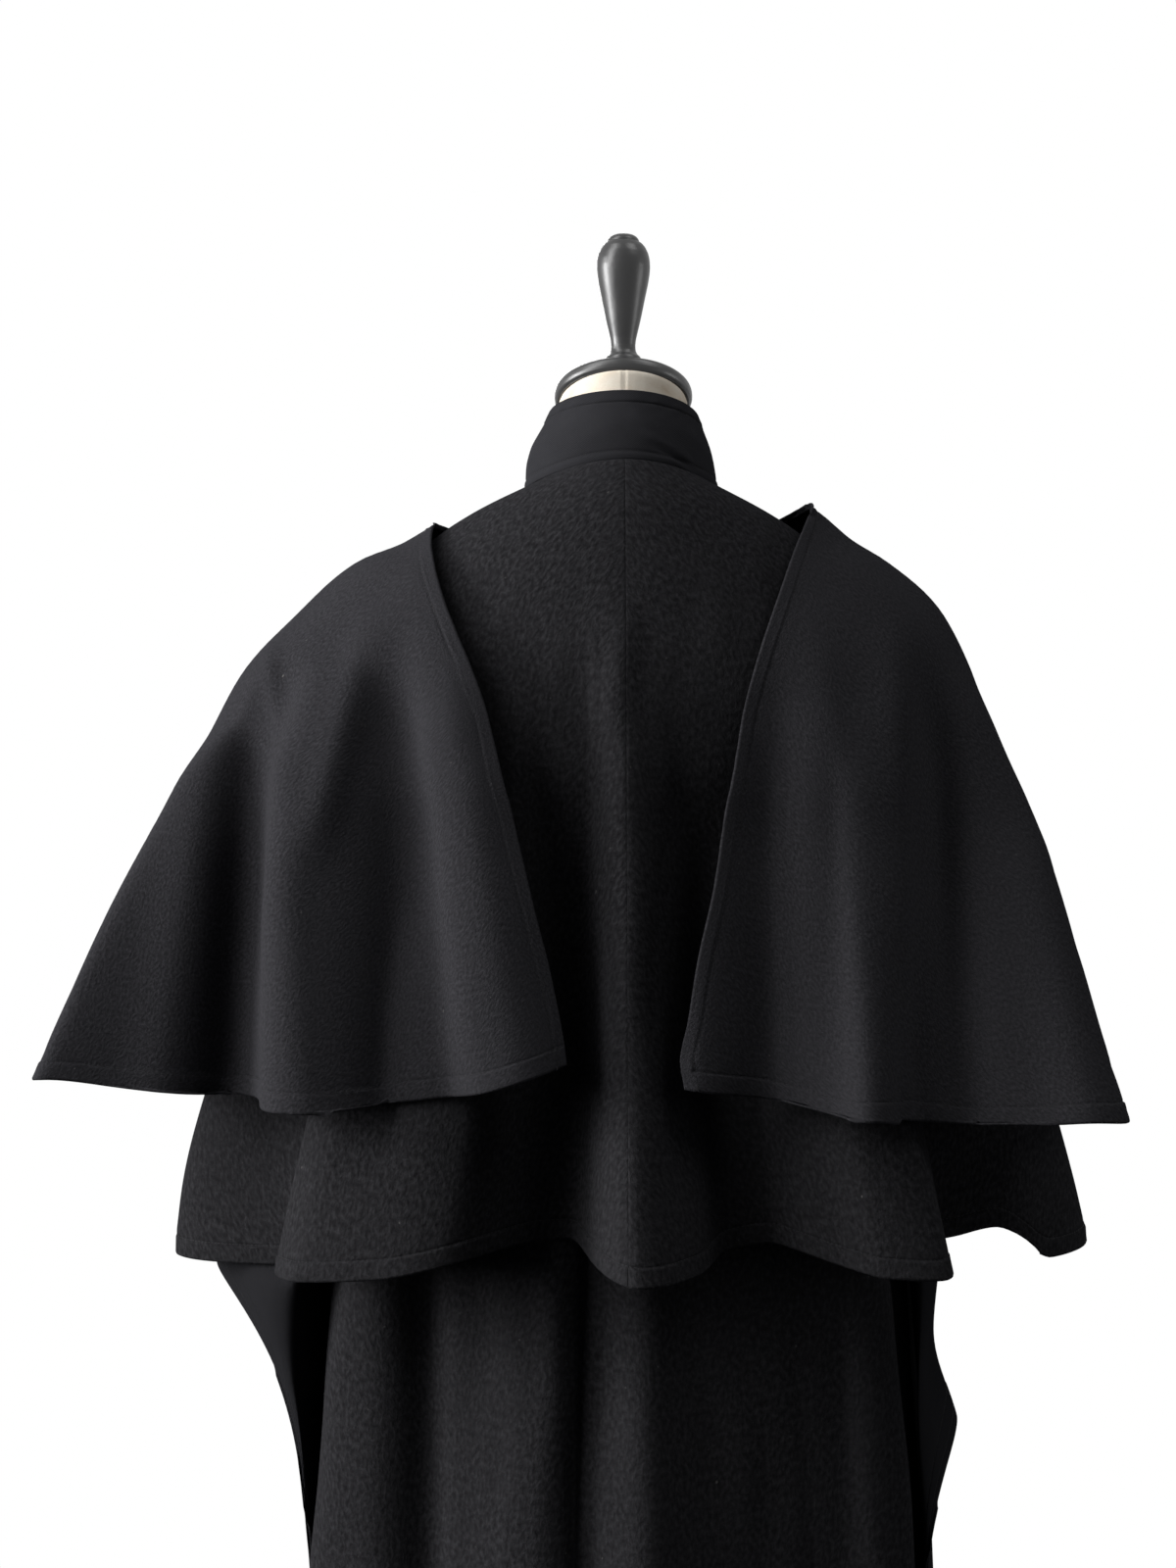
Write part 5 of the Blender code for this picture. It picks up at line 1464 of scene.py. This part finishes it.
def build_buttons():
    profile = [(0, 0), (BUTTON_RADIUS * 0.8, 0), (BUTTON_RADIUS * 0.95, 0.0006), (BUTTON_RADIUS, 0.0016),
               (BUTTON_RADIUS, 0.0026), (BUTTON_RADIUS * 0.96, 0.0034), (BUTTON_RADIUS * 0.88, BUTTON_THICK),
               (BUTTON_RADIUS * 0.78, 0.0034)]
    profile += [(BUTTON_RADIUS * share, FACE) for share in np.linspace(0.68, 0.03, 22)] + [(0, FACE)]
    surface, plain = on_layer(coat_right_front_cloth), on_layer(coat_right_front_radius)
    fine = np.linspace(level_of(70, 0), CENTRE_Z - COAT_HEM_Z, 900)
    heights = plain(np.full(900, 270.0), fine)[:, 2]
    for number, height in enumerate(BUTTON_HEIGHTS, 1):
        at = fine[np.argmin(np.abs(heights - height))]
        centre = plain(np.array([270.0]), np.array([at]))[0]
        facing = normals_of(plain, np.array([270.0]), np.array([at]))[0]
        lean = 90 - math.degrees(math.asin(facing[2]))
        obj = lathe(f"button_{number}_horn", profile, "button", lean, centre + facing * BUTTON_SHANK, 64, holes)
        finish_piece(obj, f"button_{number}")
        # The threads that cross its holes, then the corded buttonhole under it.
        up, right = np.array([0, facing[2], -facing[1]]), np.array([1.0, 0, 0])
        up = up / np.linalg.norm(up)
        top = centre + facing * (BUTTON_SHANK + FACE)
        lines = []
        for a in (-1, 1):
            way = np.linspace(-1, 1, 9)
            arch = 0.0004 * (1 - way ** 2)[:, None] * facing
            lines.append((top + right * way[:, None] * HOLE_STEP + up * a * way[:, None] * HOLE_STEP + arch,
                          np.tile(facing, (9, 1))))
        finish_piece(stitches(f"button_{number}_threads", lines, 0.0037, 0.0046, 0.00042, 0.2), None)
        turn = 2 * math.pi * np.arange(72) / 72
        long = np.sign(np.cos(turn)) * (BUTTONHOLE_LENGTH / 2 - BUTTONHOLE_WIDTH / 2)
        long = long * np.minimum(1, np.abs(np.cos(turn)) * 3)
        x = long + BUTTONHOLE_WIDTH / 2 * np.cos(turn) * 0.6 - 0.004
        z = BUTTONHOLE_WIDTH / 2 * np.sin(turn)
        reach = np.linalg.norm(centre[:2])
        angle = 270 + np.degrees(x / reach)
        line = surface(angle, at + z)
        points, faces = tube(line + facing * CORD * 0.35, CORD)
        obj = make_object(f"buttonhole_{number}", points, faces.tolist(), None, None, "thread")
        finish_piece(obj, None)


build_form()
build_coat()
build_cape()
build_wings()
build_sleeves()
build_collar()
build_buttons()

# ---------------------------------------------------------------- stage, light and camera

BACKDROP = 1.0
FILL = 0.05  # what the unlit room gives to cloth
WALLS = 0.75  # the white room as polished things mirror it
FLOOR_RADIUS, FLOOR_SIDES = 1.20, 180


def stage_material(name, colour):
    made = bpy.data.materials.new(name)
    made.use_nodes = True
    inputs = made.node_tree.nodes["Principled BSDF"].inputs
    inputs["Base Color"].default_value = (*colour, 1)
    inputs["Roughness"].default_value = 0.9
    return made


def build_stage():
    turn = 2 * math.pi * np.arange(FLOOR_SIDES) / FLOOR_SIDES
    rim = np.stack([FLOOR_RADIUS * np.cos(turn), FLOOR_RADIUS * np.sin(turn), np.zeros(FLOOR_SIDES)], -1)
    mesh = bpy.data.meshes.new("floor")
    mesh.from_pydata(rim.tolist(), [], [tuple(range(FLOOR_SIDES))])
    mesh.materials.append(stage_material("pale_floor", (0.80, 0.80, 0.80)))
    floor = bpy.data.objects.new("floor", mesh)
    bpy.context.scene.collection.objects.link(floor)
    floor.visible_diffuse = False  # the pale floor throws no light up under the cloth
    world = bpy.data.worlds.new("studio")
    bpy.context.scene.world = world
    world.use_nodes = True
    tree = world.node_tree
    background, output = tree.nodes["Background"], tree.nodes["World Output"]
    seen = tree.nodes.new("ShaderNodeBackground")
    seen.inputs["Color"].default_value = (1, 1, 1, 1)
    seen.inputs["Strength"].default_value = BACKDROP
    background.inputs["Color"].default_value = (0.93, 0.96, 1.0, 1)
    background.inputs["Strength"].default_value = FILL
    walls = tree.nodes.new("ShaderNodeBackground")
    walls.inputs["Strength"].default_value = WALLS
    path, mixed = tree.nodes.new("ShaderNodeLightPath"), tree.nodes.new("ShaderNodeMixShader")
    around = tree.nodes.new("ShaderNodeMixShader")
    tree.links.new(path.outputs["Is Glossy Ray"], around.inputs["Fac"])
    tree.links.new(background.outputs[0], around.inputs[1])
    tree.links.new(walls.outputs[0], around.inputs[2])
    tree.links.new(path.outputs["Is Camera Ray"], mixed.inputs["Fac"])
    tree.links.new(around.outputs[0], mixed.inputs[1])
    tree.links.new(seen.outputs[0], mixed.inputs[2])
    tree.links.new(mixed.outputs[0], output.inputs["Surface"])


# Soft lights: the way each shines from (degrees round from the wearer's left over the back, and up), how far
# away it stands in metres, and its power in watts.
LIGHT_TARGET = (0, 0.05, 1.05)
LIGHT_SIZE = (1.4, 1.8)
LIGHTS = (
    ("window", 8, 8, 4.0, 190),
    ("window_edge", 30, 8, 4.0, 30),
    ("window_top", 30, 32, 4.0, 60),
    ("ceiling", 30, 58, 4.0, 38),
    ("right", 172, 4, 4.0, 21),
    ("ceiling_right", 150, 60, 4.0, 26),
    ("front", 280, 20, 3.6, 60),
)


def build_lights():
    for name, around, up, away, power in LIGHTS:
        light = bpy.data.lights.new(name, "AREA")
        light.shape, light.energy = "RECTANGLE", power
        light.size, light.size_y = LIGHT_SIZE
        obj = bpy.data.objects.new(name, light)
        bpy.context.scene.collection.objects.link(obj)
        around, up = math.radians(around), math.radians(up)
        way = Vector((math.cos(up) * math.cos(around), math.cos(up) * math.sin(around), math.sin(up)))
        obj.location = Vector(LIGHT_TARGET) + way * away
        obj.rotation_euler = (-way).to_track_quat("-Z", "Y").to_euler()


def build_camera():
    camera = bpy.data.cameras.new("camera")
    camera.lens, camera.sensor_width, camera.sensor_fit = 50, 36, "AUTO"
    obj = bpy.data.objects.new("camera", camera)
    obj.location = (0.03, 1.86, 1.135)
    obj.rotation_euler = (math.radians(90), 0, math.radians(180))
    bpy.context.scene.collection.objects.link(obj)
    bpy.context.scene.camera = obj


build_stage()
build_lights()
build_camera()
bpy.context.scene.view_settings.view_transform = "Standard"
